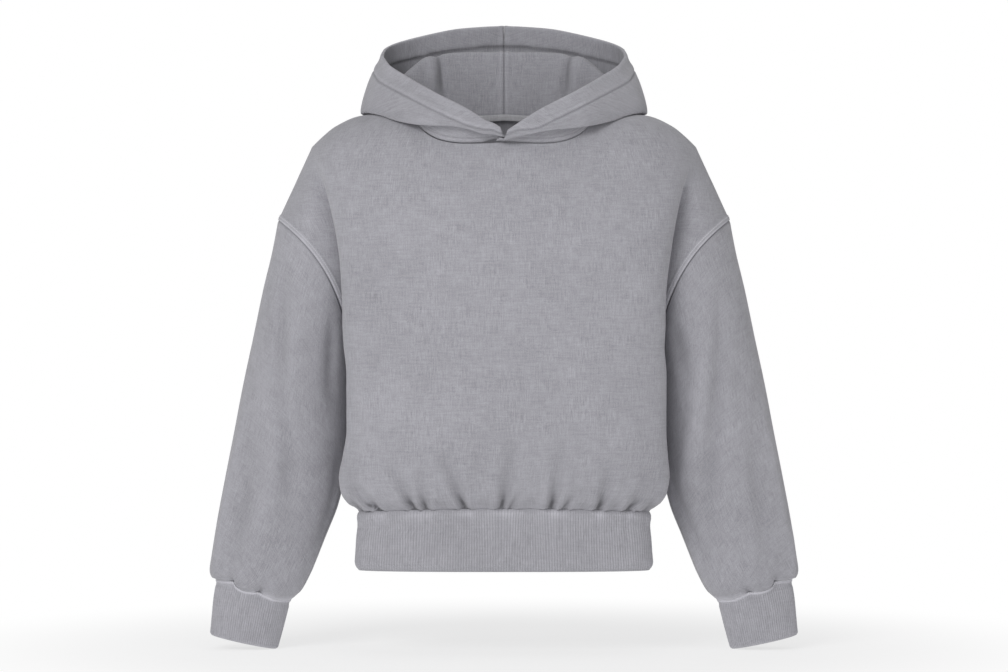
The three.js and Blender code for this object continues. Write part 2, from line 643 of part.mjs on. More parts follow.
function neckPoint(angle) {
  const turn = (angle * Math.PI) / 180;
  const reach = Math.abs(angle) < 90 ? NECK_FRONT : NECK_BACK;
  const round = Math.abs(angle) < 90 ? NECK_ROUND_FRONT : NECK_ROUND_BACK;
  const r = (Math.abs(Math.sin(turn) / NECK_HALF) ** round
    + Math.abs(Math.cos(turn) / reach) ** round) ** (-1 / round);
  const x = r * Math.sin(turn);
  const y = SIDE_Y - r * Math.cos(turn);
  return [x, y, bodyTop(x, y)];
}

const mix = (a, b, t) => a.map((v, i) => lerp(v, b[i], t));

// The left front edge lies under the right one where they cross
function underRise(angle, shift) {
  return shift < 0 ? HOOD_UNDER_RISE * (1 - smooth(...UNDER_RISE_FADE, Math.abs(angle))) : 0;
}

// Profile of the hood at an angle, as a smooth curve through its own points
function hoodProfile(angle, shift) {
  const a = Math.abs(angle);
  const sign = Math.sign(angle) || 1;
  const point = (n) => [at(HOOD, `${n}X`, a) * sign, at(HOOD, `${n}Y`, a), at(HOOD, `${n}Z`, a)];
  const seam = neckPoint(angle);
  seam[2] += HOOD_SEAM_GAP;
  const roll = point('roll');
  const fold = point('fold');
  const edge = point('edge');
  if (shift < 0) fold[2] += FLAP_LIFT * Math.exp(-(((a - FLAP_LIFT_ANGLE) / FLAP_LIFT_WIDE) ** 2));
  const over = mix(roll, fold, ROLL_OVER);
  over[2] += at(HOOD, 'lift', a);
  const side = mix(fold, edge, 0.5);
  const out = unit([side[0], side[1] - HOOD_MIDDLE_Y, 0]);
  const points = [seam, mix(seam, roll, 0.5), roll, over, mix(roll, fold, ROLL_DOWN), fold,
    move(side, out, at(HOOD, 'bulge', a)), edge];
  const forward = 1 - smooth(...LAYERS_FADE, a);
  const under = underRise(angle, shift);
  return points.map((p) => [p[0], p[1] - shift * forward, p[2] + under]);
}

function along(points, t) {
  const k = HOOD_KNOTS;
  let i = 0;
  while (i < k.length - 2 && t > k[i + 1]) i += 1;
  const h = k[i + 1] - k[i];
  const u = (t - k[i]) / h;
  const tangent = (j, a) => {
    const before = Math.max(0, j - 1);
    const after = Math.min(k.length - 1, j + 1);
    return (points[after][a] - points[before][a]) / (k[after] - k[before]);
  };
  return [0, 1, 2].map((a) => points[i][a] * (2 * u ** 3 - 3 * u * u + 1)
    + h * tangent(i, a) * (u ** 3 - 2 * u * u + u)
    + points[i + 1][a] * (3 * u * u - 2 * u ** 3) + h * tangent(i + 1, a) * (u ** 3 - u * u));
}

const HOOD_PLACES = [0, 0.08, 0.15, 0.2, 0.24, 0.29, 0.4, 0.5, 0.56, 0.6, 0.65, 0.73, HEM_FROM,
  0.89, 0.95, 1];
const HOOD_ANGLES = [-HOOD_PAST_MIDDLE, 1, 9, 19, 29, 39, 48, 57, 65, 73, 81, 90, 99, 107, 115,
  124, 135, 150, 165, 180];

function hoodHalf(name, side) {
  const shift = side > 0 ? HOOD_LAYERS_APART : -HOOD_LAYERS_APART;
  const grid = HOOD_ANGLES.map((base) => HOOD_PLACES.map((t) => {
    const near = 1 - smooth(-HOOD_PAST_MIDDLE, HOOD_POINT_TO, base);
    const angle = base + HOOD_POINT_SLANT * near * t;
    const p = along(hoodProfile(angle, shift), t);
    const floor = bodyTop(p[0], p[1]) + BODY_CLEARANCE + underRise(angle, shift);
    p[2] = t > 0 ? Math.max(p[2], floor) : p[2];
    return base === 180 ? [SEAM_GAP / 2, p[1], p[2]] : p;
  }));
  const last = grid.length - 1;
  const inner = normals(grid, false, -1).map((row, j) => row.map((n, i) => {
    const thick = HOOD_PLACES[i] > HEM_FROM ? HEM_FLEECE : FLEECE;
    let offset = n.map((v) => v * -thick);
    if (j === last) offset = keepSide(offset, [-1, 0, 0], thick);
    if (i === 0) offset = keepSide(offset, [0, 0, -1], thick);
    return [0, 1, 2].map((a) => grid[j][i][a] + offset[a]);
  }));
  const flip = (p) => [p[0] * side, p[1], p[2]];
  return wallMesh(name, grid.map((r) => r.map(flip)), inner.map((r) => r.map(flip)), false,
    0x9c9ba1);
}

// Tape over the neck seam inside the back
const TAPE_ANGLE = 86;
const TAPE_INSET = 3.1;
const TAPE_THICK = 0.9;
const TAPE_UP = 4.5;
const TAPE_DOWN = 3;
const TAPE_STEPS = 24;

function neckTape(name) {
  const outer = [];
  const inner = [];
  for (let j = 0; j <= TAPE_STEPS; j += 1) {
    const angle = lerp(TAPE_ANGLE, 360 - TAPE_ANGLE, j / TAPE_STEPS);
    const p = neckPoint(angle > 180 ? angle - 360 : angle);
    const out = unit([p[0] / NECK_HALF ** 2, (p[1] - SIDE_Y) / NECK_BACK ** 2, 0]);
    const edges = [p[2] - TAPE_DOWN, p[2] + TAPE_UP];
    outer.push(edges.map((z) => move([p[0], p[1], z], out, -TAPE_INSET)));
    inner.push(edges.map((z) => move([p[0], p[1], z], out, -TAPE_INSET - TAPE_THICK)));
  }
  return wallMesh(name, outer, inner, false, 0xa6a5aa);
}

const hoodie = new THREE.Group();
hoodie.name = 'hoodie';
hoodie.add(
  panel('front_panel', FRONT, FRONT_LOW, FRONT_COLUMNS, FRONT_GATHERS),
  panel('back_panel', BACK, BACK_LOW, BACK_COLUMNS, BACK_GATHERS),
  sleeve('sleeve_left', -1),
  sleeve('sleeve_right', 1),
  cuff('cuff_left', -1),
  cuff('cuff_right', 1),
  waistband('waistband_rib'),
  hoodHalf('hood_left', -1),
  hoodHalf('hood_right', 1),
  neckTape('neck_tape'),
);

export default hoodie;
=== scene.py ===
import logging
import math
from dataclasses import dataclass, field
from enum import Enum
from typing import Dict, List, Optional, Sequence, Tuple

import bpy
import numpy as np
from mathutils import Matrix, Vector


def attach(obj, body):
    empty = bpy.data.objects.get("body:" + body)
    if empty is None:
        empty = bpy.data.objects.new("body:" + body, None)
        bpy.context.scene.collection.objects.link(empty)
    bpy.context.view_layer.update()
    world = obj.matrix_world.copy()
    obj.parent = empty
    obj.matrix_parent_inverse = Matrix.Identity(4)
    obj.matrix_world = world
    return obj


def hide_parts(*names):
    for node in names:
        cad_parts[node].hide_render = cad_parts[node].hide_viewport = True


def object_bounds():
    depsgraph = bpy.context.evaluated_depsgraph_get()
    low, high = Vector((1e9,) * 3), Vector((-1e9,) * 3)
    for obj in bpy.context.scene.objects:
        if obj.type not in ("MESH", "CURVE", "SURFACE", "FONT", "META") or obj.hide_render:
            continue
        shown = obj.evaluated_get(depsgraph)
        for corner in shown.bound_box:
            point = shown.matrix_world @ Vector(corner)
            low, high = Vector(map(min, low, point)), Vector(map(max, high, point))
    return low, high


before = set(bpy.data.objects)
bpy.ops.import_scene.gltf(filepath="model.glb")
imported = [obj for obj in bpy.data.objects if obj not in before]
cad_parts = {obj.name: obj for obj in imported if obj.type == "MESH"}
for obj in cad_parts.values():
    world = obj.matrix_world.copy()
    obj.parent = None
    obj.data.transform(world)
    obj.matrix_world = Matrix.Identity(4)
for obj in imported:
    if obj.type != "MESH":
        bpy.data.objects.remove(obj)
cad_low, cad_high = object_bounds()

# Pullover hoodie filled out with no wearer. Shapes are worked out in millimetres, in the frame's axes,
# and put into their meshes in metres: X to the picture's right, Y to the back, Z up. A pair of numbers
# in a name such as FOLD_FADE is where something begins and where it is complete.
Array = np.ndarray
Colour = Tuple[float, float, float]
MM = 0.001
log = logging.getLogger("hoodie")

# Cloth walls and seams
FLEECE = 2.0
HEM_FLEECE = 3.1
RIB_WALL = 2.6
SEAM_GAP = 0.3
RIM_ROUND = 0.34

# Twin-needle seam: its two lines of stitches, its raised allowance and where that ends
TWIN_NEAR = 1.4
TWIN_FAR = 5.2
TWIN_HIGH = 1.2
TWIN_END = (5.6, 8.2)
TWIN_DIP_SHARE = 0.6
TWIN_FROM = (0, 0.04)

# Seams of the body
SIDE_Y = 15.0
ARMPIT = np.array([196.5, -258.0])
TIP = np.array([283.0, -124.5])
FRONT_ARM = 57.0
BACK_ARM = 50.0
ARM_BOW = 16.0

# Fold from the armpit up to the shoulder
FOLD_TOP_X = 240.5
FOLD_BOW = 44.0
FOLD_TUCK = 8.0
FOLD_TUCK_GROWS = (0, 0.3)
FOLD_DEPTH = 14.0
FOLD_FADE = (0.6, 0.92)
TOP_SHARP = (0.85, 1)
ARM_BULGE = 3.0

# Neck opening seen from above
NECK_HALF = 118.0
NECK_FRONT = 90.0
NECK_BACK = 60.0
NECK_ROUND_FRONT = 4.0
NECK_ROUND_BACK = 3.0

# Waist seam and the rounding of the body's sections
WAIST_SEAM = -486.0
WAIST_BOTTOM = -558.0
WAIST_RISE = 5.0
WAIST_RISE_UP_TO = 50.0
WAIST_RISE_DOWN_TO = 30.0
LEAN_FADE = (20, 60)
SECTION_ROUND = 2.6
FRONT_ROUND = 2.6
FRONT_SIDE_SHARE = 0.58
BACK_ROUND = 4.0
BACK_SIDE_SHARE = 0.47
BACK_FULLER = 2.0
NECK_PLACE = 0.5
SOFT_FROM = (0.75, 0.95)
ROUNDING_FROM_Z = -340.0


def smooth(low: float, high: float, x: Array) -> Array:
    """Rises from 0 at low to 1 at high as three t squared less two t cubed."""
    t = np.clip((np.asarray(x, float) - low) / (high - low), 0, 1)
    return t * t * (3 - 2 * t)


def lerp(a: Array, b: Array, t: Array) -> Array:
    """The straight mix of a and b at t."""
    return a + (b - a) * t


def unit(v: Array) -> Array:
    """Vectors of length one along the last axis."""
    return v / np.maximum(np.linalg.norm(v, axis=-1, keepdims=True), 1e-9)


def bell(x: Array, width: float) -> Array:
    """A soft bump of height one: e to the minus square of x over its width."""
    return np.exp(-((x / width) ** 2))


@dataclass(frozen=True)
class Bumps:
    """Soft bumps on a line, each with its height, its place and its half width."""

    rows: Tuple[Tuple[float, float, float], ...]

    def at(self, x: Array) -> Array:
        """Height of all the bumps together at places on the line."""
        return sum(high * bell(x - place, wide) for high, place, wide in self.rows)


class Table:
    """A short table with named columns, whose first column is the key."""

    def __init__(self, names: str, *rows: Sequence[float]) -> None:
        """Keeps the columns by name.

        Args:
            names: The columns' names, apart by spaces.
            rows: One row for each section or fold.
        """
        self.columns: Dict[str, Array] = dict(zip(names.split(), np.array(rows, float).T))
        self.keys: Array = next(iter(self.columns.values()))

    def rows(self) -> List[Dict[str, float]]:
        """Each row as a dictionary of its columns."""
        return [{n: c[i] for n, c in self.columns.items()} for i in range(len(self.keys))]

    def at(self, name: str, x: Array) -> Array:
        """Reads a column between its rows.

        The curve is a cubic between each two keys. Its slope at a key is the harmonic mean of the
        slopes on both sides, or none where they point opposite ways, so it never swings past the rows.

        Args:
            name: The column.
            x: Places among the keys.

        Returns:
            The column's values there.
        """
        k, v = self.keys, self.columns[name]
        x = np.clip(np.asarray(x, float), k[0], k[-1])
        i = np.clip(np.searchsorted(k, x, side="left") - 1, 0, len(k) - 2)
        slope = np.diff(v) / np.diff(k)
        a, b = slope[:-1], slope[1:]
        same = a * b > 0
        inner = np.where(same, 2 * a * b / np.where(same, a + b, 1), 0)
        tangent = np.concatenate([slope[:1], inner, slope[-1:]])
        h = k[i + 1] - k[i]
        t = (x - k[i]) / h
        return (v[i] * (2 * t**3 - 3 * t**2 + 1) + h * tangent[i] * (t**3 - 2 * t**2 + t)
                + v[i + 1] * (3 * t**2 - 2 * t**3) + h * tangent[i + 1] * (t**3 - t**2))


# Sections of the body by height: half width, front and back depth, narrowing to the seam, lean
TORSO = Table(
    "z half front back narrow lean",
    (-558, 184.5, 93, 92, 3, 0), (-536, 183, 92, 91, 3, 0), (-500, 181, 92, 91, 3, 0),
    (-486, 180.5, 92, 91, 3, 0), (-475, 193, 101, 98, 5, 0), (-463, 200.5, 107, 102, 8, 0),
    (-443, 203.6, 112, 104, 11, 0.3), (-418, 200.2, 112.5, 104.5, 12, 1.6),
    (-385, 196.9, 112, 105, 12, 3), (-300, 197.3, 111, 105, 11, 3), (-258, 199.3, 110, 105, 2.8, 3),
    (-196, 203, 110, 105, 2.8, 2.6), (-148, 208, 110, 105, 2.8, 1.2), (-70, 220, 110, 105, 2.8, 0),
)

# Top line of the shoulders, from the middle to the fold
RIDGE = Table("x z", (0, 22), (118, 14), (150, 10), (181.3, 5.6), (210.2, -7), (226.8, -20),
              (240.5, -33.1))

# Sections of a sleeve from the armhole to the cuff: outer and inner line, depths, middle and bow
SLEEVE = Table(
    "s outX outZ inX inZ front back midY bow",
    (0, 283, -124.5, 196.5, -258, 57, 50, 15, 16), (0.08, 291, -165, 194.5, -284, 59, 53, 18, 9),
    (0.2, 302, -210, 194, -318, 60, 57, 21, 3), (0.35, 315, -272, 195, -364, 60, 58, 22, 0),
    (0.5, 328, -333, 196.5, -408, 58, 57, 21, 0), (0.63, 339, -392, 200, -446, 56, 55, 18, 0),
    (0.75, 350, -449, 207.5, -480, 52, 51, 15, 0), (0.85, 360.5, -507, 223, -520, 48, 47, 12, 0),
    (0.92, 366, -545, 236, -552, 44, 43, 10, 0), (0.97, 368.8, -569, 248, -579, 39, 38, 9, 0),
    (0.99, 367.5, -577, 257, -594, 34, 33, 8, 0), (1, 361.5, -580.5, 269, -603, 27, 27, 8, 0),
)

# Sections of a cuff from its seam to the wrist
CUFF = Table("s outX outZ inX inZ deep", (0, 361.5, -580.5, 269, -603, 27),
             (0.3, 364, -600, 274, -622, 26), (1, 367.5, -643, 284, -661, 25))
CUFF_Y = 8.0

# Hood by the angle from the front: where it rolls over, its lower fold, open edge, bulge and lift
HOOD = Table(
    "angle rollX rollY rollZ foldX foldY foldZ edgeX edgeY edgeZ bulge lift",
    (0, 0, -80, -31, 0, -87, -30, 0, -88, -22, 0, 0),
    (30, 49, -79, -15, 50.5, -88, -19, 43, -81, 7, 3, 0),
    (50, 94, -67, -10, 101, -75, -12, 88, -64, 31, 5, 0),
    (65, 117, -42, 1, 140, -42, -2, 120, -32, 51, 7, 0),
    (80, 131, -6, 11, 172, -3, 8, 146, 0, 70, 8, 1), (100, 134, 40, 38, 177, 30, 10, 154, 42, 86, 9, 8),
    (110, 114, 56, 60, 171, 62, 6, 153, 66, 93, 10, 11),
    (120, 93, 68, 79, 157, 98, -27, 149, 88, 99, 12, 14),
    (145, 62, 82, 88, 92, 124, -92, 105, 130, 116, 16, 16),
    (180, 0, 86, 90, 0, 130, -112, 0, 150, 132.6, 20, 18),
)

# Profiles of the hood: places of their points, shares of the way between them, rest on the body
HOOD_KNOTS = np.array([0, 0.1, 0.2, 0.27, 0.43, 0.6, 0.8, 1])
OVER_SHARE = 0.15
DROP_SHARE = 0.55
BULGE_SHARE = 0.6
BULGE_FROM_Y = 30.0
HOOD_CROWD = 1.18
HOOD_SEAM_GAP = 0.9
HOOD_SEAM_HOLD = 0.03
BODY_CLEARANCE = 1.4
SOFT_LANDING = 3.0
OFF_BODY = -1e4

# Where the two halves of the hood cross in front, and how their points slant
HOOD_PAST_MIDDLE = 6.0
HOOD_LAYERS_APART = 2.3
HOOD_APART_FADE = (8, 26)
HOOD_UNDER_RISE = 3.6
HOOD_UNDER_FADE = (7, 18)
HOOD_POINT_SLANT = 9.0
HOOD_POINT_TO = 34.0

# Hem of the hood, narrower where its profile is short, and the roll's place along a profile
HEM_WIDE = 25.0
HEM_SHORT = 9.0
HEM_GROWS = (8, 60)
HEM_CROWD = 1.4
ROLL_PLACE = 0.215
ROLL_MARK = 0.3
STAND_LINE = 5.5

# Bumps of the hood by the angle: outwards at its corners, upwards at its flap and round its peak
HOOD_CORNERS = Bumps(((3.0, 95, 16),))
CORNER_DROP = 0.4
FLAP_LIFT = Bumps(((4.5, 34, 17),))
PEAK_ARCH = Bumps(((2.0, 161, 10), (-1.6, 180, 5)))
PEAK_ROWS = (0.7, 1)

# Where the points along a profile stand closer: at the roll, the neck seam and the hem
PROFILE_CROWD = Bumps(((2.4, ROLL_MARK, 0.1), (0.5, 0, 0.06), (0.5, 1, 0.06)))

# Folds at both sides of the nape: by the angle, and how far along a profile they reach, with painted shade
# in the fold and a painted highlight on its ridge, and how far these reach
NAPE_FOLDS = Bumps(((4.8, 119, 4.5), (-4.2, 127.5, 4.2)))
NAPE_REACH = Bumps(((1, 0.13, 0.09),))
NAPE_SHADE = Bumps(((0.9, 126.5, 2.6),))
NAPE_PALE = Bumps(((0.25, 120, 3.5),))
NAPE_SHADING_REACH = Bumps(((1, 0.15, 0.1),))

# Relief of the cloth by the distance from a seam, edge or line of stitches
PLAIN_RELIEF = Bumps(((-0.9, 0, 1.5), (0.25, 4, 3)))
TWIN_DIP = Bumps(((-0.9, 0, 1.5),))
TWIN_DENTS = Bumps(((0.55, TWIN_NEAR, 0.9), (0.55, TWIN_FAR, 0.9)))
SLEEVE_TOP_RELIEF = Bumps(((-1.1, 0, 1.7),))
SLEEVE_END_RELIEF = Bumps(((0.9, 5.2, 1.7), (1.1, 0, 1.5)))
HEM_RELIEF = Bumps(((-1.0, 0, 1.5), (0.8, -5, 4.0), (0.2, 4, 3)))
HEM_SUNK = Bumps(((0.7, 0, 1.5), (-0.7, -5, 4.0)))
HOOD_EDGE_RELIEF = Bumps(((0.9, 3, 3.5),))
HOOD_NECK_RELIEF = Bumps(((-0.5, STAND_LINE, 1.2), (0.4, 8, 2.5), (-0.8, 0, 1.6)))
HOOD_MIDDLE_RELIEF = Bumps(((-1.0, 0, 1.3), (0.9, 4, 2.4)))
HOOD_MIDDLE_SUNK = Bumps(((-0.9, 4, 2.4),))
HEM_RIPPLES = Bumps(((0.22, 0, 9),))
MIDDLE_SEWN_LEAST = 0.15
MIDDLE_SEWN_GROWS = (1, 16)
HEM_THICKENS = (-0.6, 0.8)

# Pale marks of wear and dark marks of painted shade by the same distances: how strong, where and how wide
ARMHOLE_PALE = Bumps(((0.75, TWIN_NEAR, 1.0), (0.6, TWIN_FAR, 1.0)))
ARMHOLE_BAND_PALE = 0.2
ARMHOLE_BAND_END = (5.6, 7.4)
WAIST_PALE = Bumps(((0.25, 0, 1.8),))
WAIST_DARK = Bumps(((0.5, 0, 1.3),))
SHOULDER_PALE = Bumps(((0.2, 0, 2.5),))
SLEEVE_END_PALE = Bumps(((0.5, 5.2, 1.5), (1.2, 0, 1.5)))
SLEEVE_END_DARK = Bumps(((0.3, 2.8, 1.0),))
SLEEVE_TOP_DARK = Bumps(((0.7, 0, 1.6),))
HEM_PALE = Bumps(((0.12, -3, 2),))
HEM_DARK = Bumps(((0.75, 0, 1.3),))
HOOD_EDGE_PALE = Bumps(((0.25, 0, 2.2),))
HOOD_MIDDLE_PALE = Bumps(((0.2, 4, 2.5),))
HOOD_MIDDLE_DARK = Bumps(((0.6, 0, 1.0),))
STAND_DARK = Bumps(((0.5, STAND_LINE, 1.0),))

# How a gather changes on its way up, the two low swells beside it and its growth from the side seam
GATHER_LEAN = 0.8
GATHER_FACTOR = 1.1
GATHER_NARROW = 0.5
GATHER_WIDENS = 0.95
GATHER_SHARP = 1.5
GATHER_FADE = 0.95
GATHER_SWELL = 0.34
GATHER_SWELL_AT = 2.1
SIDE_FADE = (0, 26)

# Shade of a gather: how deep it has to be, its dark mouth and the soft band round it
SHADED_DEEP = 4.5
SHADED_LEAST = 0.25
SHADED_MOST = 1.2
MOUTH_DARK = 1.9
MOUTH_HIGH = 30.0
MOUTH_WIDE = 1.2
MOUTH_WIDENS = 3.0
MOUTH_FADE = 1.6
BAND_DARK = 0.36
BAND_HIGH = 95.0
BAND_WIDE = 7.5

# Gathers over the waistband: place at the seam, place at the top, height, depth, half width
FRONT_GATHERS = Table(
    "x topX high deep wide",
    (-176, -190, 30, 3, 7), (-151, -185, 34, 5.5, 7), (-107, -137, 66, 6, 7), (-94, -102, 30, 5, 5.5),
    (-72, -80, 20, 1.5, 8), (-45, -76, 88, 6.5, 7), (-24, -30, 20, 1.2, 8), (-4, 9, 92, 6, 7),
    (6, 12, 20, 3.5, 5), (30, 34, 20, 1.2, 8), (56, 72, 92, 6.5, 7), (71, 82, 24, 4, 5.5),
    (94, 100, 20, 1.5, 8), (114, 132, 72, 6, 7), (133, 138, 20, 1.5, 7), (151, 169, 34, 5, 7),
    (174, 186, 30, 3, 7),
)
BACK_GATHERS = Table(
    "x topX high deep wide",
    (-172, -184, 36, 5, 8), (-143, -158, 64, 5, 9), (-112, -122, 30, 3.5, 8), (-84, -98, 78, 6, 9),
    (-52, -58, 34, 3.5, 8), (-20, -26, 86, 5.5, 9), (14, 16, 32, 3.5, 8), (44, 54, 74, 6, 9),
    (78, 84, 30, 3.5, 8), (108, 122, 82, 5.5, 9), (140, 148, 34, 4, 8), (171, 184, 40, 5, 8),
)

# Places along the band where it stands proud under the gathers and gets a painted highlight, and their half
# widths
LIGHT_PATCHES = ((-103, 18), (-45, 13), (2, 18), (62, 17), (116, 9), (-150, 8), (152, 9))

# Soft troughs and ridges of the body: from, to, bow of the line, height outwards, half width
FRONT_CREASES = Table(
    "x z toX toZ bow high wide",
    (-150, -452, -96, -396, 6, 1.3, 11), (-60, -430, -72, -330, -5, -1.2, 13),
    (6, -430, 22, -318, 5, -1.1, 14), (74, -438, 100, -330, -6, -1.3, 13),
    (128, -440, 158, -352, 5, 1.2, 12), (-120, -400, -150, -300, 8, 0.9, 15),
    (-176, -150, -110, -96, 10, 1.1, 15), (172, -160, 112, -92, -10, 1.1, 14),
    (-186, -236, -132, -182, 8, -1.0, 13), (188, -244, 126, -196, -8, -1.1, 12),
    (-40, -60, 40, -72, -9, 0.8, 16), (-96, -110, -30, -160, 8, -0.7, 18),
    (104, -120, 46, -178, -8, -0.7, 17), (-36, -210, 58, -232, 7, 0.6, 20),
    (40, -300, 130, -280, -7, 0.6, 18), (-140, -262, -62, -282, 6, -0.6, 18),
    (-28, -380, 30, -404, 8, 0.8, 12), (96, -396, 146, -420, 6, 0.8, 11),
    (-200, -450, -146, -492, -5, -2.8, 5.5), (-196, -468, -160, -494, -3, 1.2, 5),
    (196, -456, 152, -490, 5, -1.7, 6),
)
BACK_CREASES = Table(
    "x z toX toZ bow high wide",
    (-170, -170, -90, -110, 10, 1.4, 15), (164, -180, 96, -104, -10, 1.3, 16),
    (-184, -240, -120, -200, 8, -1.3, 13), (186, -236, 110, -190, -9, -1.2, 14),
    (-60, -80, 66, -92, -10, 0.9, 18), (-30, -430, -44, -300, 6, -1.3, 14),
    (60, -436, 84, -290, -7, -1.4, 14), (120, -430, 150, -330, 6, 1.2, 13),
    (-120, -440, -150, -340, -6, 1.3, 13), (-90, -250, 10, -276, 8, 0.8, 20),
    (30, -330, 120, -300, -8, 0.7, 19), (-20, -150, 90, -180, 8, -0.8, 20),
)

# Long soft folds of a sleeve: angle round it at both ends, from, to, height outwards, half width
SLEEVE_FOLDS_RIGHT = Table(
    "angle toAngle start end high wide",
    (122, 52, 0.1, 0.92, -3.3, 10), (98, 28, 0.15, 0.85, 1.5, 12), (150, 146, 0.5, 1, 2, 10),
    (255, 262, 0.2, 0.75, -4, 16), (215, 206, 0.35, 0.95, 3, 16), (300, 306, 0.5, 0.95, -3, 14),
    (52, 66, 0.05, 0.34, -2.0, 10), (128, 112, 0.55, 0.98, -1.8, 9), (166, 140, 0.82, 1, 2.0, 7),
    (60, 92, 0.42, 0.62, 1.1, 9), (104, 132, 0.3, 0.5, -0.9, 9), (236, 216, 0.05, 0.4, -2.2, 11),
    (280, 320, 0.55, 0.8, 1.3, 9), (196, 230, 0.6, 0.88, -1.4, 9), (28, 40, 0.6, 0.98, -1.6, 9),
)
SLEEVE_FOLDS_LEFT = Table(
    "angle toAngle start end high wide",
    (136, 70, 0.02, 0.88, -3.0, 10), (104, 100, 0.1, 0.7, 1.5, 12), (150, 152, 0.5, 1, 2, 12),
    (255, 250, 0.2, 0.75, -4, 16), (215, 220, 0.35, 0.95, 3, 16), (300, 296, 0.5, 0.95, -3, 14),
    (58, 48, 0.02, 0.4, -2.2, 11), (94, 104, 0.45, 0.95, 1.6, 10), (132, 118, 0.62, 0.98, -1.7, 9),
    (66, 100, 0.58, 0.74, -0.9, 8), (110, 84, 0.34, 0.52, 0.9, 9), (240, 228, 0.04, 0.36, -2.0, 11),
    (284, 250, 0.6, 0.84, 1.4, 9), (200, 188, 0.5, 0.8, -1.2, 10), (30, 22, 0.5, 0.9, -1.4, 10),
)

# Notches of a cuff's seam, where the gathered sleeve is drawn in, by the angle round it
CUFF_NOTCHES = (78.5, 121.5, 214.0, 258.0, 302.0, 342.0)
NOTCH_PULL = 4.6
NOTCH_HIGH = (0.045, 0.055, 0.04, 0.035)
NOTCH_LEAN = (120, -110)
NOTCH_WIDE = 5.0
NOTCH_WIDENS = 110.0
NOTCH_FADE = 1.1

# Height of the cuff's scalloped seam over the straight line across it, by the angle round it
CUFF_SEAM_HIGHER = 1.8
CUFF_SEAM = Table(
    "angle up", (0, 2), (30, 0.4), (53, -0.8), (68, 1.2), (78.5, 3.4), (90, 1.6), (99, 1), (110, 2.2),
    (116, 4.6), (121.5, 8.6), (132, 7.4), (150, 5.6), (180, 5), (200, 4), (214, 6.5), (236, 2.5),
    (258, 4.6), (280, 0.6), (302, 3.6), (322, 0), (342, 2.6), (360, 2),
)


@dataclass(frozen=True)
class Half:
    """The front or the back half of the body, with its own rounding."""

    sign: float
    column: str
    side_share: float
    round: float
    arm: float
    neck: float
    neck_round: float


FRONT = Half(-1, "front", FRONT_SIDE_SHARE, FRONT_ROUND, FRONT_ARM, NECK_FRONT, NECK_ROUND_FRONT)
BACK = Half(1, "back", BACK_SIDE_SHARE, BACK_ROUND, BACK_ARM, NECK_BACK, NECK_ROUND_BACK)


def section(half: Half, z: Array) -> Tuple[Array, Array, Array, Array]:
    """Half width, width at the seam, depth and depth at which the side begins, at a height."""
    seam = TORSO.at("half", z) - TORSO.at("narrow", z)
    wide = TORSO.at("half", z) if half.sign < 0 else seam + BACK_FULLER
    deep = TORSO.at(half.column, z) - half.sign * SIDE_Y
    return wide, seam, deep, deep * half.side_share


def fall(w: Array, power: float) -> Array:
    """Falls from 1 to 0 as a rounded corner: one less w to the power, to one over the power."""
    return (1 - np.clip(w, 0, 1) ** power) ** (1 / power)


def upper_point(half: Half, xi: Array, w: Array) -> Array:
    """Point of the upper body: xi across from the middle to the fold, w up from armpit to ridge."""
    wide, _, deep, belt = section(half, ARMPIT[1])
    x = xi * lerp(wide, FOLD_TOP_X, w) - FOLD_BOW * w * (1 - w) * xi * xi
    depth = belt + (deep - belt) * fall(xi, SECTION_ROUND)
    z = lerp(ARMPIT[1], RIDGE.at("z", xi * FOLD_TOP_X), w)
    y = SIDE_Y + half.sign * depth * fall(w, half.round)
    return np.stack(np.broadcast_arrays(x, y, z), axis=-1)


def neck_limit(half: Half, xi: Array) -> Array:
    """How far up w goes before the neck opening cuts the cloth, by halving the span forty times."""
    def outside(w: Array) -> Array:
        """Above nothing where the point lies outside the neck's rounded oval."""
        p = upper_point(half, xi, w)
        return (np.abs(p[..., 0]) / NECK_HALF) ** half.neck_round \
            + (np.abs(p[..., 1] - SIDE_Y) / half.neck) ** half.neck_round - 1

    low, high = np.zeros_like(xi), np.ones_like(xi)
    for _ in range(40):
        mid = (low + high) / 2
        above = outside(mid) > 0
        low, high = np.where(above, mid, low), np.where(above, high, mid)
    return np.where(outside(np.ones_like(xi)) >= 0, 1, (low + high) / 2)


def armhole_point(w: Array) -> Array:
    """Point of the armhole seam in the plane of the side seams: a straight line bowed outwards."""
    across = unit(np.array([TIP[1] - ARMPIT[1], ARMPIT[0] - TIP[0]]))
    line = ARMPIT + (TIP - ARMPIT) * np.asarray(w)[..., None]
    return line - across * (ARM_BOW * 4 * w * (1 - w))[..., None]


def armhole_side(w: Array) -> Array:
    """The way across the armhole towards the sleeve: the seam's own direction turned by a quarter."""
    step = 0.01
    d = armhole_point(w + step) - armhole_point(w - step)
    flat = unit(np.stack([d[..., 1], -d[..., 0]], axis=-1))
    return np.stack([flat[..., 0], np.zeros_like(w), flat[..., 1]], axis=-1)


def lengths(line: Array) -> Array:
    """Length run along each row of points, from nothing at its first point."""
    step = np.linalg.norm(np.diff(line[..., :3], axis=1), axis=2)
    return np.concatenate([np.zeros((len(line), 1)), np.cumsum(step, axis=1)], axis=1)


def shares(line: Array) -> Array:
    """Share of each row's length at each of its points."""
    run = lengths(line)
    return run / np.maximum(run[:, -1:], 1e-9)


def resample(line: Array, places: Array, marks: Optional[Array] = None) -> Array:
    """Points at places along each row.

    Args:
        line: Rows of points.
        places: Where the points are wanted, one row of them or a row for each.
        marks: Rising place of every given point, or none for its share of the row's length.

    Returns:
        Rows of points as long as places.
    """
    marks = shares(line) if marks is None else marks
    places = np.broadcast_to(places, (len(line), np.shape(places)[-1]))
    return np.stack([
        np.stack([np.interp(p, s, row[:, a]) for a in range(row.shape[1])], axis=1)
        for p, s, row in zip(places, marks, line)
    ])


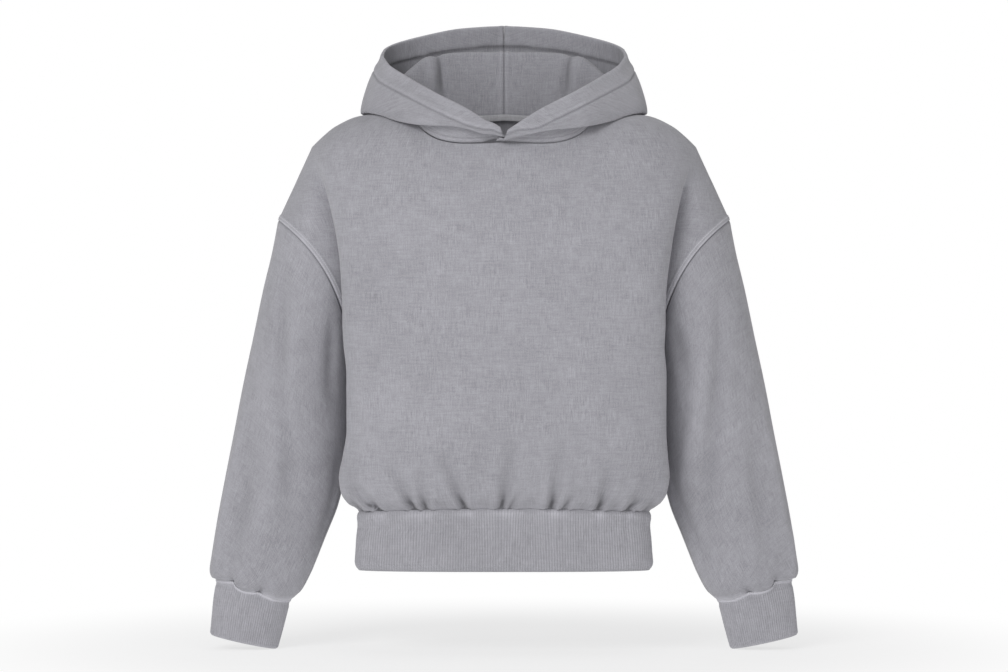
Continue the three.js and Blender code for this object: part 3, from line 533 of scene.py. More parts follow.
@dataclass(frozen=True)
class BodyRows:
    """The rows of points that run across half of the body, from its middle to a seam at the side.

    Each point comes with its mark: from 0 to 1 along the front or back, from 1 to 2 along the side.
    """

    arc_steps: int = 240
    side_steps: int = 80
    even_steps: int = 240
    passes: int = 40

    def across(self) -> Array:
        """Shares of the width, closer where the section turns fastest."""
        turn = np.arange(self.arc_steps + 1) / self.arc_steps * math.pi / 2
        return np.sin(turn) ** (2 / SECTION_ROUND)

    def low(self, half: Half, z: Array) -> Array:
        """Level rows below the armpit.

        The front falls away as a rounded corner from the middle to the widest place, and from there
        the side runs straight back to the seam while it narrows as half a cosine.

        Args:
            half: Front or back.
            z: Height of each row.

        Returns:
            Rows of points with their marks.
        """
        wide, seam, deep, belt = (v[:, None] for v in section(half, z))
        xi = self.across()[None]
        x = wide * xi
        y = belt + (deep - belt) * fall(xi, SECTION_ROUND)
        t = np.arange(1, self.side_steps + 1)[None] / self.side_steps
        side_x = lerp(wide, seam, (1 - np.cos(math.pi * t)) / 2)
        side_y = belt * (1 - t)
        x, y = np.hstack([x, side_x]), np.hstack([y, side_y])
        level = np.repeat(z[:, None], x.shape[1], 1)
        line = np.stack([x, SIDE_Y + half.sign * y, level], axis=-1)
        return self.rounded(line, smooth(ROUNDING_FROM_Z, ARMPIT[1], z))

    def high(self, half: Half, w: Array) -> Array:
        """Rows above the armpit, from the middle over the fold line into the tuck and out to the armhole.

        Args:
            half: Front or back.
            w: Place of each row, from the armpit to the ridge of the shoulder.

        Returns:
            Rows of points with their marks, with the tuck smoothed.
        """
        w = np.maximum(w, 1e-6)[:, None]
        xi = self.across()[None]
        limit = neck_limit(half, xi)
        front = upper_point(half, xi, w * (1 - (1 - limit) * w * w))
        edge = front[:, -1:]
        edge_deep = np.abs(edge[..., 1] - SIDE_Y)
        arm_deep = half.arm * 2 * np.sqrt(w * (1 - w))
        fade = smooth(*FOLD_FADE, w)
        crease_deep = lerp(arm_deep - FOLD_DEPTH * 4 * w * (1 - w), edge_deep, fade)
        wide, seam, _, _ = section(half, ARMPIT[1])
        tuck = (wide - seam) * (1 - w) + FOLD_TUCK * smooth(*FOLD_TUCK_GROWS, w) * (1 - fade)
        t = np.arange(1, self.side_steps + 1)[None] / self.side_steps
        fold = np.stack([edge[..., 0] - tuck * (1 - np.cos(math.pi * t)) / 2,
                         SIDE_Y + half.sign * lerp(edge_deep, crease_deep, t),
                         np.repeat(edge[..., 2], t.size, 1)], axis=-1)
        crease = fold[:, -1:]
        end = armhole_point(w)
        bulge = ARM_BULGE * 4 * t * (1 - t) * 4 * w * (1 - w)
        arm = np.stack([lerp(crease[..., 0], end[..., 0], t),
                        SIDE_Y + half.sign * (lerp(crease_deep, arm_deep, t) + bulge),
                        lerp(crease[..., 2], end[..., 1], t)], axis=-1)
        line = np.concatenate([front, fold, arm], axis=1)
        return self.rounded(line, 1 - smooth(*TOP_SHARP, w[:, 0]))

    def rounded(self, line: Array, amount: Array) -> Array:
        """Evens the rows out and then draws each point towards its neighbours, pass after pass.

        Args:
            line: Rows of points, of which the first part runs along the front or back.
            amount: How much each row is rounded, from 0 to 1.

        Returns:
            Rows of points with their marks.
        """
        arc = line[:, :self.arc_steps + 1]
        soft = np.ones(line.shape[:2])
        soft[:, :self.arc_steps + 1] = smooth(*SOFT_FROM, self.across()[None])
        marks = np.hstack([shares(arc), 1 + shares(line[:, self.arc_steps:])[:, 1:]])
        points = resample(np.dstack([line, soft, marks]), np.linspace(0, 1, self.even_steps + 1))
        m = (points[:, 1:-1, 3] * amount[:, None])[..., None]
        for _ in range(self.passes):
            p = points[..., :3]
            p[:, 1:-1] += m * ((p[:, :-2] + p[:, 2:]) / 4 - p[:, 1:-1] / 2)
        return points[..., [0, 1, 2, 4]]

    def neck_mark(self, half: Half, w: Array) -> Array:
        """Mark at which the neck point lies on each row, so that the columns stay even there."""
        top = upper_point(half, self.across()[None], np.ones((1, 1)))
        there = np.interp(NECK_HALF, top[0, :, 0], shares(top)[0])
        return lerp(NECK_PLACE, there, smooth(0, 1, w))


def settle(p: Array) -> Array:
    """Lets the waist seam rise a little to the middle and the body lean a little to one side.

    The rise is largest in the middle and falls with the square of the way to the side. The lean
    fades near the armhole seam, by the distance from it.
    """
    x, y, z = p[..., 0], p[..., 1], p[..., 2]
    near = 1 - smooth(WAIST_SEAM, WAIST_SEAM + WAIST_RISE_UP_TO, z)
    rise = WAIST_RISE * (1 - (x / TORSO.at("half", z)) ** 2) * near
    share = np.where(z < WAIST_SEAM, smooth(WAIST_SEAM - WAIST_RISE_DOWN_TO, WAIST_SEAM, z), 1)
    span = TIP - ARMPIT
    along = np.clip(((np.abs(x) - ARMPIT[0]) * span[0] + (z - ARMPIT[1]) * span[1]) / (span @ span), 0, 1)
    far = np.hypot(np.abs(x) - ARMPIT[0] - span[0] * along, z - ARMPIT[1] - span[1] * along)
    lean = TORSO.at("lean", z) * smooth(*LEAN_FADE, far)
    return np.stack([x + lean, y, z + np.maximum(0, rise) * share], axis=-1)


def normals(grid: Array, closed: bool, turn: float = 1) -> Array:
    """Normals of a grid, as the cross product of the ways along its rows and up its columns."""
    if closed:
        across = np.roll(grid, -1, axis=1) - np.roll(grid, 1, axis=1)
    else:
        across = np.gradient(grid, axis=1)
    return unit(np.cross(across, np.gradient(grid, axis=0))) * turn


def keep_side(offset: Array, plane: Array, thick: float) -> Array:
    """Keeps a rim's wall on its own side of the plane in which its seam lies."""
    over = np.sum(offset * plane, axis=-1, keepdims=True)
    kept = unit(offset - plane * over) * thick
    return np.where(over > 0, kept, offset)


def gather_relief(tab: Table, x: Array, above: Array) -> Array:
    """Gathers over a seam.

    Each is a bell across its own leaning line, deepest at the seam, with two lower swells beside it,
    and it widens and dies away upwards.

    Args:
        tab: Place at the seam and at the top, height, depth and half width of each.
        x: Places along the seam.
        above: Heights over the seam.

    Returns:
        Displacement outwards.
    """
    total = np.zeros_like(x)
    for row in tab.rows():
        up = np.clip(above / row["high"], 0, 1)
        mid = lerp(row["x"], row["topX"], up**GATHER_LEAN)
        width = row["wide"] * (GATHER_NARROW + GATHER_WIDENS * up)
        away = np.abs(x - mid) / width
        swell = GATHER_SWELL * bell(away - GATHER_SWELL_AT, 1.0)
        across = swell - np.exp(-(away**GATHER_SHARP))
        total += GATHER_FACTOR * row["deep"] * across * (1 - up) ** GATHER_FADE
    return total


def tuck_shade(tab: Table, x: Array, above: Array) -> Array:
    """Shade of each gather: dark in its narrow mouth, with a faint wide band that fades higher up."""
    total = np.zeros_like(x)
    for row in tab.rows():
        up = np.clip(above / MOUTH_HIGH, 0, 1)
        mid = lerp(row["x"], row["topX"], np.clip(above / row["high"], 0, 1) ** GATHER_LEAN)
        strong = np.clip(row["deep"] / SHADED_DEEP - SHADED_LEAST, 0, SHADED_MOST)
        mouth = bell(x - mid, MOUTH_WIDE + MOUTH_WIDENS * up) * (1 - up) ** MOUTH_FADE
        band = bell(x - mid, BAND_WIDE) * np.clip(1 - above / BAND_HIGH, 0, 1)
        total += strong * MOUTH_DARK * mouth + strong * BAND_DARK * band
    return total


def crease_relief(tab: Table, x: Array, z: Array) -> Array:
    """Soft troughs and ridges: a bell across each bowed line, swelling from nothing at its ends."""
    total = np.zeros_like(x)
    for row in tab.rows():
        dx, dz = row["toX"] - row["x"], row["toZ"] - row["z"]
        long = math.hypot(dx, dz)
        t = ((x - row["x"]) * dx + (z - row["z"]) * dz) / long**2
        away = ((x - row["x"]) * dz - (z - row["z"]) * dx) / long - row["bow"] * 4 * t * (1 - t)
        swell = np.sin(math.pi * np.clip(t, 0, 1)) ** 1.2
        total += row["high"] * swell * bell(away, row["wide"])
    return total


def puckers(place: Array, above: Array, pitch: float, high: float, reach: float) -> Array:
    """Fine uneven puckers beside a seam: two waves of unlike pitch that die away from it."""
    wave = np.sin(place * 2 * math.pi / pitch) + 0.7 * np.sin(place * 2 * math.pi / (pitch * 1.63) + 1.3)
    return high * wave * np.exp(-np.maximum(above, 0) / reach)


class Seam(Enum):
    """What the edge of a piece does where it is sewn on."""

    GROOVE = "groove"
    TWIN = "twin"


def seam_relief(away: Array, kind: Seam) -> Array:
    """Height of the cloth by its distance from a seam.

    A plain seam dips, with a low swell beside it. A twin-needle seam is raised over its turned
    allowance, with a dent under each line of stitches, and dips only at the very edge.
    """
    if kind is Seam.GROOVE:
        return PLAIN_RELIEF.at(away)
    raised = TWIN_HIGH * (1 - smooth(*TWIN_END, away))
    return raised - TWIN_DENTS.at(away) + TWIN_DIP_SHARE * TWIN_DIP.at(away)


@dataclass
class Wall:
    """A wall of cloth between an outer grid and an inner one, rows up and columns across."""

    outer: Array
    inner: Array
    closed: bool
    # Lighter colour: wear along seams and edges, and painted highlights on crests
    pale: Array
    # Darker colour: painted shade in seams, grooves, folds, notches and tucks
    groove: Array
    centred: bool = False
    pattern: Optional[Tuple[Array, Array]] = None
    far_apart: float = 0.08

    def rim(self, at: int, beside: int) -> Array:
        """Points that round a rim off: halfway between the faces and a third of the wall beyond it."""
        middle = (self.outer[at] + self.inner[at]) / 2
        thick = np.linalg.norm(self.outer[at] - self.inner[at], axis=-1, keepdims=True)
        return middle + unit(self.outer[at] - self.outer[beside]) * thick * RIM_ROUND

    def cut(self) -> Tuple[Array, Array]:
        """Distances across and up the cloth in metres, for the pattern of its knit."""
        if self.pattern:
            return self.pattern[0] * MM, self.pattern[1] * MM
        grid = np.concatenate([self.outer, self.outer[:, :1]], axis=1) if self.closed else self.outer
        across = lengths(grid)
        if self.centred:
            across = across - across[:, -1:] / 2
            across = np.where(across > 0, across - across[:, -1:], across + across[:, -1:])
        up = lengths(np.swapaxes(grid, 0, 1)).T
        return across * MM, up * MM

    def mesh(self, name: str) -> bpy.types.Mesh:
        """Puts the wall into a mesh.

        Each column runs up the outside, over the top rim, down the inside and round the bottom rim.
        Columns are joined by four-sided faces, and a strip closes each side of an open wall. Where a
        face's cut distances lie far apart, the cut jumps there, and all of them take the same sign.

        Args:
            name: The piece's name.

        Returns:
            A closed mesh with its cut distances as UV, and as attributes its pale marks of wear and painted
            highlight and its painted shade.
        """
        rows, cols = self.outer.shape[:2]
        loop = np.concatenate([self.outer, self.rim(-1, -2)[None], self.inner[::-1],
                               self.rim(0, 1)[None]])
        order = np.concatenate([np.arange(rows), [rows - 1], np.arange(rows)[::-1], [0]])
        count = len(loop)
        ids = np.arange(count * cols).reshape(count, cols)
        if self.closed:
            ids = np.hstack([ids, ids[:, :1]])
        across, up = self.cut()
        u, v = across[order], up[order]
        turn = np.roll(np.arange(count), -1)
        corners = [(np.arange(count), 0), (np.arange(count), 1), (turn, 1), (turn, 0)]
        spans = ids.shape[1] - 1
        quads = np.stack([ids[r][:, c:c + spans] for r, c in corners], axis=-1).reshape(-1, 4)
        quad_u = np.stack([u[r][:, c:c + spans] for r, c in corners], axis=-1).reshape(-1, 4)
        quad_v = np.stack([v[r][:, c:c + spans] for r, c in corners], axis=-1).reshape(-1, 4)
        broken = np.ptp(quad_u, axis=1) > self.far_apart
        quad_u[broken] = np.abs(quad_u[broken])
        inside = np.repeat((np.arange(count) > rows) & (np.arange(count) < 2 * rows), spans)
        faces, us, vs = quads.tolist(), [quad_u.ravel()], [quad_v.ravel()]
        if not self.closed:
            for side, flip in ((0, False), (cols - 1, True)):
                j = np.arange(rows - 1)
                strip = np.stack([j, j + 1, 2 * rows - j - 1, 2 * rows - j], axis=-1)
                ends = np.array([[rows - 1, rows, rows + 1], [2 * rows, 2 * rows + 1, 0]])
                for part in (strip, ends):
                    part = part[:, ::-1] if flip else part
                    faces += ids[part, side].tolist()
                    us.append(u[part, side].ravel())
                    vs.append(v[part, side].ravel())
        points = loop.reshape(-1, 3) * MM
        a, b, c = points[quads[:, 0]], points[quads[:, 1]], points[quads[:, 2]]
        d = points[quads[:, 3]]
        if np.sum(a * np.cross(b, c)) + np.sum(a * np.cross(c, d)) < 0:
            faces = [face[::-1] for face in faces]
            sizes = [len(face) for face in faces]
            starts = np.cumsum([0] + sizes[:-1])
            swap = np.concatenate([np.arange(s + n - 1, s - 1, -1) for s, n in zip(starts, sizes)])
            us, vs = [np.concatenate(us)[swap]], [np.concatenate(vs)[swap]]
        mesh = bpy.data.meshes.new(name)
        mesh.from_pydata(points.tolist(), [], faces)
        layer = mesh.uv_layers.new(name="Cut")
        layer.data.foreach_set("uv", np.stack([np.concatenate(us), np.concatenate(vs)], axis=-1).ravel())
        for attribute, grid in (("pale", self.pale), ("groove", self.groove)):
            store = mesh.attributes.new(attribute, "FLOAT", "POINT")
            store.data.foreach_set("value", grid[order].astype(np.float32).ravel())
        index = np.zeros(len(faces), np.int32)
        index[:len(inside)] = inside
        mesh.polygons.foreach_set("material_index", index)
        mesh.polygons.foreach_set("use_smooth", np.ones(len(faces), bool))
        mesh.update()
        return mesh


def area_of(grid: Array, closed: bool) -> float:
    """Area of a grid in square metres, as the sum of its four-sided faces' halves."""
    if closed:
        grid = np.concatenate([grid, grid[:, :1]], axis=1)
    a, b, c, d = grid[:-1, :-1], grid[:-1, 1:], grid[1:, 1:], grid[1:, :-1]
    twice = np.linalg.norm(np.cross(b - a, c - a), axis=-1) + np.linalg.norm(np.cross(c - a, d - a), axis=-1)
    return float(twice.sum() / 2) * MM * MM


class Graph:
    """The nodes of one material."""

    def __init__(self, name: str) -> None:
        """Starts an empty material of that name."""
        self.material = bpy.data.materials.new(name)
        self.material.use_nodes = True
        self.tree = self.material.node_tree
        self.tree.nodes.clear()

    def node(self, kind: str, settings: Optional[dict] = None,
             inputs: Optional[dict] = None) -> bpy.types.Node:
        """Adds a node.

        Args:
            kind: The node's type, without the words that all shader nodes begin with.
            settings: Its own properties, set first.
            inputs: Values or links of its sockets, by name or number.

        Returns:
            The node.
        """
        made = self.tree.nodes.new("ShaderNode" + kind)
        for key, setting in (settings or {}).items():
            setattr(made, key, setting)
        for key, given in (inputs or {}).items():
            socket = made.inputs[key]
            given = given.socket if isinstance(given, Value) else given
            if isinstance(given, bpy.types.NodeSocket):
                self.tree.links.new(given, socket)
            else:
                socket.default_value = given
        return made

    def value(self, kind: str, settings: Optional[dict] = None, inputs: Optional[dict] = None,
              output: int = 0) -> "Value":
        """Adds a node and wraps one of its outputs."""
        return Value(self, self.node(kind, settings, inputs).outputs[output])

    def noise(self, where: bpy.types.NodeSocket, scale: float, detail: float = 2,
              rough: float = 0.5) -> "Value":
        """Noise about one half, with features as large as one over the scale."""
        return self.value("TexNoise", None, {"Vector": where, "Scale": scale, "Detail": detail,
                                             "Roughness": rough})

    def stretched(self, where: bpy.types.NodeSocket, scale: Sequence[float]) -> bpy.types.NodeSocket:
        """Coordinates scaled by another amount each way."""
        return self.node("Mapping", None, {"Vector": where, "Scale": scale}).outputs[0]

    def mixed(self, factor: "Value", a: object, b: object) -> bpy.types.NodeSocket:
        """The mix of two colours, each a colour or a link."""
        full = [c if isinstance(c, bpy.types.NodeSocket) else (*c, 1) for c in (a, b)]
        made = self.node("Mix", {"data_type": "RGBA"}, {0: factor, 6: full[0], 7: full[1]})
        return made.outputs[2]

    def attribute(self, name: str) -> "Value":
        """A number that the piece's own mesh holds."""
        return self.value("Attribute", {"attribute_name": name}, output=2)


class Value:
    """A number in a material, with Python's operators."""

    def __init__(self, graph: Graph, socket: bpy.types.NodeSocket) -> None:
        """Wraps a socket of a graph."""
        self.graph = graph
        self.socket = socket

    def math(self, operation: str, first: object, second: object = 0.0) -> "Value":
        """The result of a Math node."""
        return self.graph.value("Math", {"operation": operation}, {0: first, 1: second})

    def __add__(self, other: object) -> "Value":
        """Sum."""
        return self.math("ADD", self, other)

    __radd__ = __add__

    def __sub__(self, other: object) -> "Value":
        """Difference."""
        return self.math("SUBTRACT", self, other)

    def __rsub__(self, other: object) -> "Value":
        """Difference from a number."""
        return self.math("SUBTRACT", other, self)

    def __mul__(self, other: object) -> "Value":
        """Product."""
        return self.math("MULTIPLY", self, other)

    __rmul__ = __mul__

    def __pow__(self, other: object) -> "Value":
        """Power."""
        return self.math("POWER", self, other)

    def sine(self) -> "Value":
        """Sine."""
        return self.math("SINE", self)

    def size(self) -> "Value":
        """Absolute value."""
        return self.math("ABSOLUTE", self)

    def ramp(self, low: float, high: float) -> "Value":
        """Rises smoothly from 0 at low to 1 at high."""
        return self.graph.value("MapRange", {"interpolation_type": "SMOOTHSTEP"},
                                {"Value": self, "From Min": low, "From Max": high})


@dataclass(frozen=True)
class Knit:
    """A washed knit: mottled colour, fine wales, a soft nap, pale wear along its edges, painted highlights
    on crests and painted shade in grooves and folds.
    """

    name: str
    colour: Colour
    mottle: float = 0.18
    heather: float = 0.5
    wale: float = 0.0012
    wale_high: float = 0.35
    nap: float = 0.5
    sheen: float = 0.25
    rib_shade: float = 0.0
    underarm: bool = False

    def tinted(self, by: float) -> Colour:
        """The colour made lighter or darker by a factor."""
        return tuple(min(1.0, c * by) for c in self.colour)

    def material(self) -> bpy.types.Material:
        """Builds the material.

        Returns:
            The material, with its colour, roughness and bump worked out from the cloth's own place.
        """
        g = Graph(self.name)
        where = g.node("TexCoord").outputs["Object"]
        cut = g.node("UVMap", {"uv_map": "Cut"}).outputs[0]
        clouds = g.noise(where, 9, 3, 0.55)
        patches = g.noise(where, 60, 4, 0.6)
        streaks = g.noise(g.stretched(cut, (760, 55, 1)), 1, 3, 0.75)
        courses = g.noise(g.stretched(cut, (45, 420, 1)), 1, 3, 0.7)
        drawn = g.noise(where, 26, 2).ramp(0.42, 0.62)
        flecks = g.noise(where, 900, 2, 0.7)
        across = Value(g, g.node("SeparateXYZ", None, {0: cut}).outputs[0])
        tone = (clouds - 0.5) * self.mottle * 1.2 + (patches - 0.5) * self.mottle * 1.3 \
            + (streaks - 0.5) * (drawn * 0.8 + 1.0) * self.heather \
            + (courses - 0.5) * self.heather * 0.8 + (flecks - 0.5) * self.heather * 1.1
        base = g.mixed(tone * 2 + 0.5, self.tinted(0.72), self.tinted(1.28))
        # Painted shade: the groove attribute darkens the colour where shade falls in seams, rib grooves,
        # folds, notches and tucks
        groove = g.attribute("groove")
        # Pale marks: wear along seams and edges, and painted highlights on fold and rib crests and where the
        # band stands proud
        wear_and_highlight = g.attribute("pale") * (patches * 0.7 + streaks * 0.6 + 0.1)
        shade = groove * self.rib_shade * (patches * 1.1 + 0.45)
        if self.underarm:
            # Painted shade along the underarm seam
            line = 1 - across.size().ramp(0.0004, 0.0013)
            shade = shade + line * 0.55
            ridge = across.size().ramp(0.0006, 0.0025) * (1 - across.size().ramp(0.004, 0.008))
        base = g.mixed(shade, base, self.tinted(0.45))
        base = g.mixed(wear_and_highlight, base, self.tinted(1.62))
        wales = ((across * (2 * math.pi / self.wale)).sine() * 0.5 + 0.5) * self.wale_high
        height = wales + streaks * 0.25 + flecks * self.nap + patches * 0.5
        if self.underarm:
            height = height - line * 1.6 + ridge * 0.8
        bump = g.node("Bump", None, {"Strength": 0.55, "Distance": 0.0006, "Height": height})
        shader = g.node("BsdfPrincipled", None, {
            "Base Color": base, "Roughness": 0.86 + (flecks - 0.5) * 0.2, "Normal": bump.outputs[0],
            "Specular IOR Level": 0.22, "Sheen Weight": self.sheen, "Sheen Roughness": 0.55})
        out = g.node("OutputMaterial", None, {"Surface": shader.outputs[0]})
        out.location = (600, 0)
        return g.material


@dataclass(frozen=True)
class Yarn:
    """Sewing thread: a twisted pale yarn."""

    name: str
    colour: Colour

    def material(self) -> bpy.types.Material:
        """Builds the material: slanting twists in the bump and a little fading in the colour."""
        g = Graph(self.name)
        where = g.node("TexCoord").outputs["Object"]
        fade = g.noise(where, 40, 2)
        fuzz = g.noise(where, 2600, 2)
        light = tuple(min(1.0, c * 1.15) for c in self.colour)
        dark = tuple(c * 0.8 for c in self.colour)
        base = g.mixed(fade * 0.6 + fuzz * 0.4, dark, light)
        bump = g.node("Bump", None, {"Strength": 0.5, "Distance": 0.0002, "Height": fuzz})
        shader = g.node("BsdfPrincipled", None, {
            "Base Color": base, "Roughness": 0.65 + fuzz * 0.15, "Normal": bump.outputs[0],
            "Sheen Weight": 0.2})
        g.node("OutputMaterial", None, {"Surface": shader.outputs[0]})
        return g.material


class Wardrobe:
    """The finishes, each made once."""

    def __init__(self) -> None:
        """Makes every finish."""
        grey = (0.348, 0.344, 0.375)
        self.face = Knit("washed_fleece", grey, rib_shade=0.6).material()
        self.arm = Knit("washed_fleece_sleeve", grey, rib_shade=0.6, underarm=True).material()
        self.inside = Knit("brushed_inside", (0.32, 0.317, 0.346), nap=1.1, wale_high=0.1,
                           rib_shade=0.6).material()
        self.rib = Knit("ribbed_knit", (0.352, 0.348, 0.378), wale=0.00155, wale_high=0.1, nap=0.4,
                        rib_shade=0.27).material()
        self.cuff = Knit("ribbed_knit_cuff", (0.37, 0.366, 0.398), wale=0.00155, wale_high=0.1, nap=0.4,
                         rib_shade=0.27).material()
        self.tape = Knit("twill_tape", (0.42, 0.417, 0.44), wale=0.0011, wale_high=1.0, nap=0.2).material()
        self.pale_thread = Yarn("pale_thread", (0.60, 0.60, 0.63)).material()
        self.thread = Yarn("grey_thread", (0.33, 0.327, 0.355)).material()


def put(name: str, mesh: bpy.types.Mesh, finishes: Sequence[bpy.types.Material]) -> bpy.types.Object:
    """Puts a mesh into the scene as an object at the origin, with its finishes."""
    obj = bpy.data.objects.new(name, mesh)
    bpy.context.collection.objects.link(obj)
    for finish in finishes:
        mesh.materials.append(finish)
    return obj


@dataclass(frozen=True)
class Stitches:
    """A row of stitches that lies on cloth."""

    pitch: float = 3.0
    share: float = 0.8
    radius: float = 0.36
    sides: int = 5
    lift: float = 0.3
    sink: float = 0.8
    feel: float = 0.6

    def stitch(self) -> Tuple[Array, List[List[int]]]:
        """One stitch along X: five rings, fuller and higher in the middle, closed at both ends."""
        s = np.linspace(-0.5, 0.5, 5)
        full = np.array([0.35, 0.88, 1, 0.88, 0.35])
        turn = np.arange(self.sides) * 2 * math.pi / self.sides
        x = np.repeat(s[:, None] * self.pitch * self.share, self.sides, 1)
        y = full[:, None] * np.cos(turn) * self.radius
        bent = self.lift * self.radius - self.sink * self.radius * (s[:, None] * 2) ** 2
        z = full[:, None] * np.sin(turn) * self.radius + bent
        points = np.stack([x, y, z], axis=-1).reshape(-1, 3)
        n = self.sides
        faces = [[r * n + i, (r + 1) * n + i, (r + 1) * n + (i + 1) % n, r * n + (i + 1) % n]
                 for r in range(4) for i in range(n)]
        faces += [list(range(n)), [4 * n + i for i in reversed(range(n))]]
        return points, faces

    def along(self, name: str, paths: Sequence[Tuple[Array, Array]],
              finish: bpy.types.Material) -> bpy.types.Object:
        """Lays stitches end to end along paths on the cloth.

        Args:
            name: The piece's name.
            paths: For each line its points and the cloth's normals there.
            finish: The thread's finish.

        Returns:
            One object with all the stitches.
        """
        points, faces = self.stitch()
        spots, corners = [], []
        for path, normal in paths:
            run = lengths(path[None])[0]
            count = max(1, int(run[-1] / self.pitch))
            middle = (np.arange(count) + 0.5) * run[-1] / count
            at = [np.stack([np.interp(middle + d, run, path[:, a]) for a in range(3)], 1)
                  for d in (-self.feel, 0, self.feel)]
            up = unit(np.stack([np.interp(middle, run, normal[:, a]) for a in range(3)], 1))
            way = unit(at[2] - at[0])
            side = unit(np.cross(up, way))
            up = np.cross(way, side)
            basis = np.stack([way, side, up], axis=1)
            placed = np.einsum("vk,nkc->nvc", points, basis) + at[1][:, None]
            spots.append(placed.reshape(-1, 3))
        total = sum(len(s) for s in spots) // len(points)
        for k in range(total):
            corners += [[k * len(points) + i for i in face] for face in faces]
        mesh = bpy.data.meshes.new(name)
        mesh.from_pydata((np.concatenate(spots) * MM).tolist(), [], corners)
        mesh.polygons.foreach_set("use_smooth", np.ones(len(corners), bool))
        mesh.update()
        return put(name, mesh, [finish])


def ring_wave(turns: Array, high: float, times: float, phase: float = 0) -> Array:
    """A wave round a ring: its height, how many times it goes round and its phase in radians."""
    return high * np.sin(turns * 2 * math.pi * times + phase)


def dressed(obj: bpy.types.Object, replaced: Optional[str] = None) -> bpy.types.Object:
    """Fixes a piece to the body and, where it stands for a solid, hides that."""
    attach(obj, "root")
    if replaced:
        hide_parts(replaced)
    return obj


def cloth(node: str, wall: Wall, finishes: Sequence[bpy.types.Material]) -> bpy.types.Object:
    """Makes a node's cloth from its wall, dresses it and logs its size.

    Args:
        node: The solid that the cloth stands for.
        wall: Its wall.
        finishes: The outer and the inner finish.

    Returns:
        The object.
    """
    name = node + "_cloth"
    obj = dressed(put(name, wall.mesh(name), finishes), node)
    run = lengths(np.concatenate([wall.outer, wall.outer[:, :1]], 1) if wall.closed else wall.outer)
    up = lengths(np.swapaxes(wall.outer, 0, 1))
    log.info("%s: %d faces, cloth %.3f x %.3f m, %.4f m2", name, len(obj.data.polygons),
             run[:, -1].max() * MM, up[:, -1].max() * MM, area_of(wall.outer, wall.closed))
    return obj


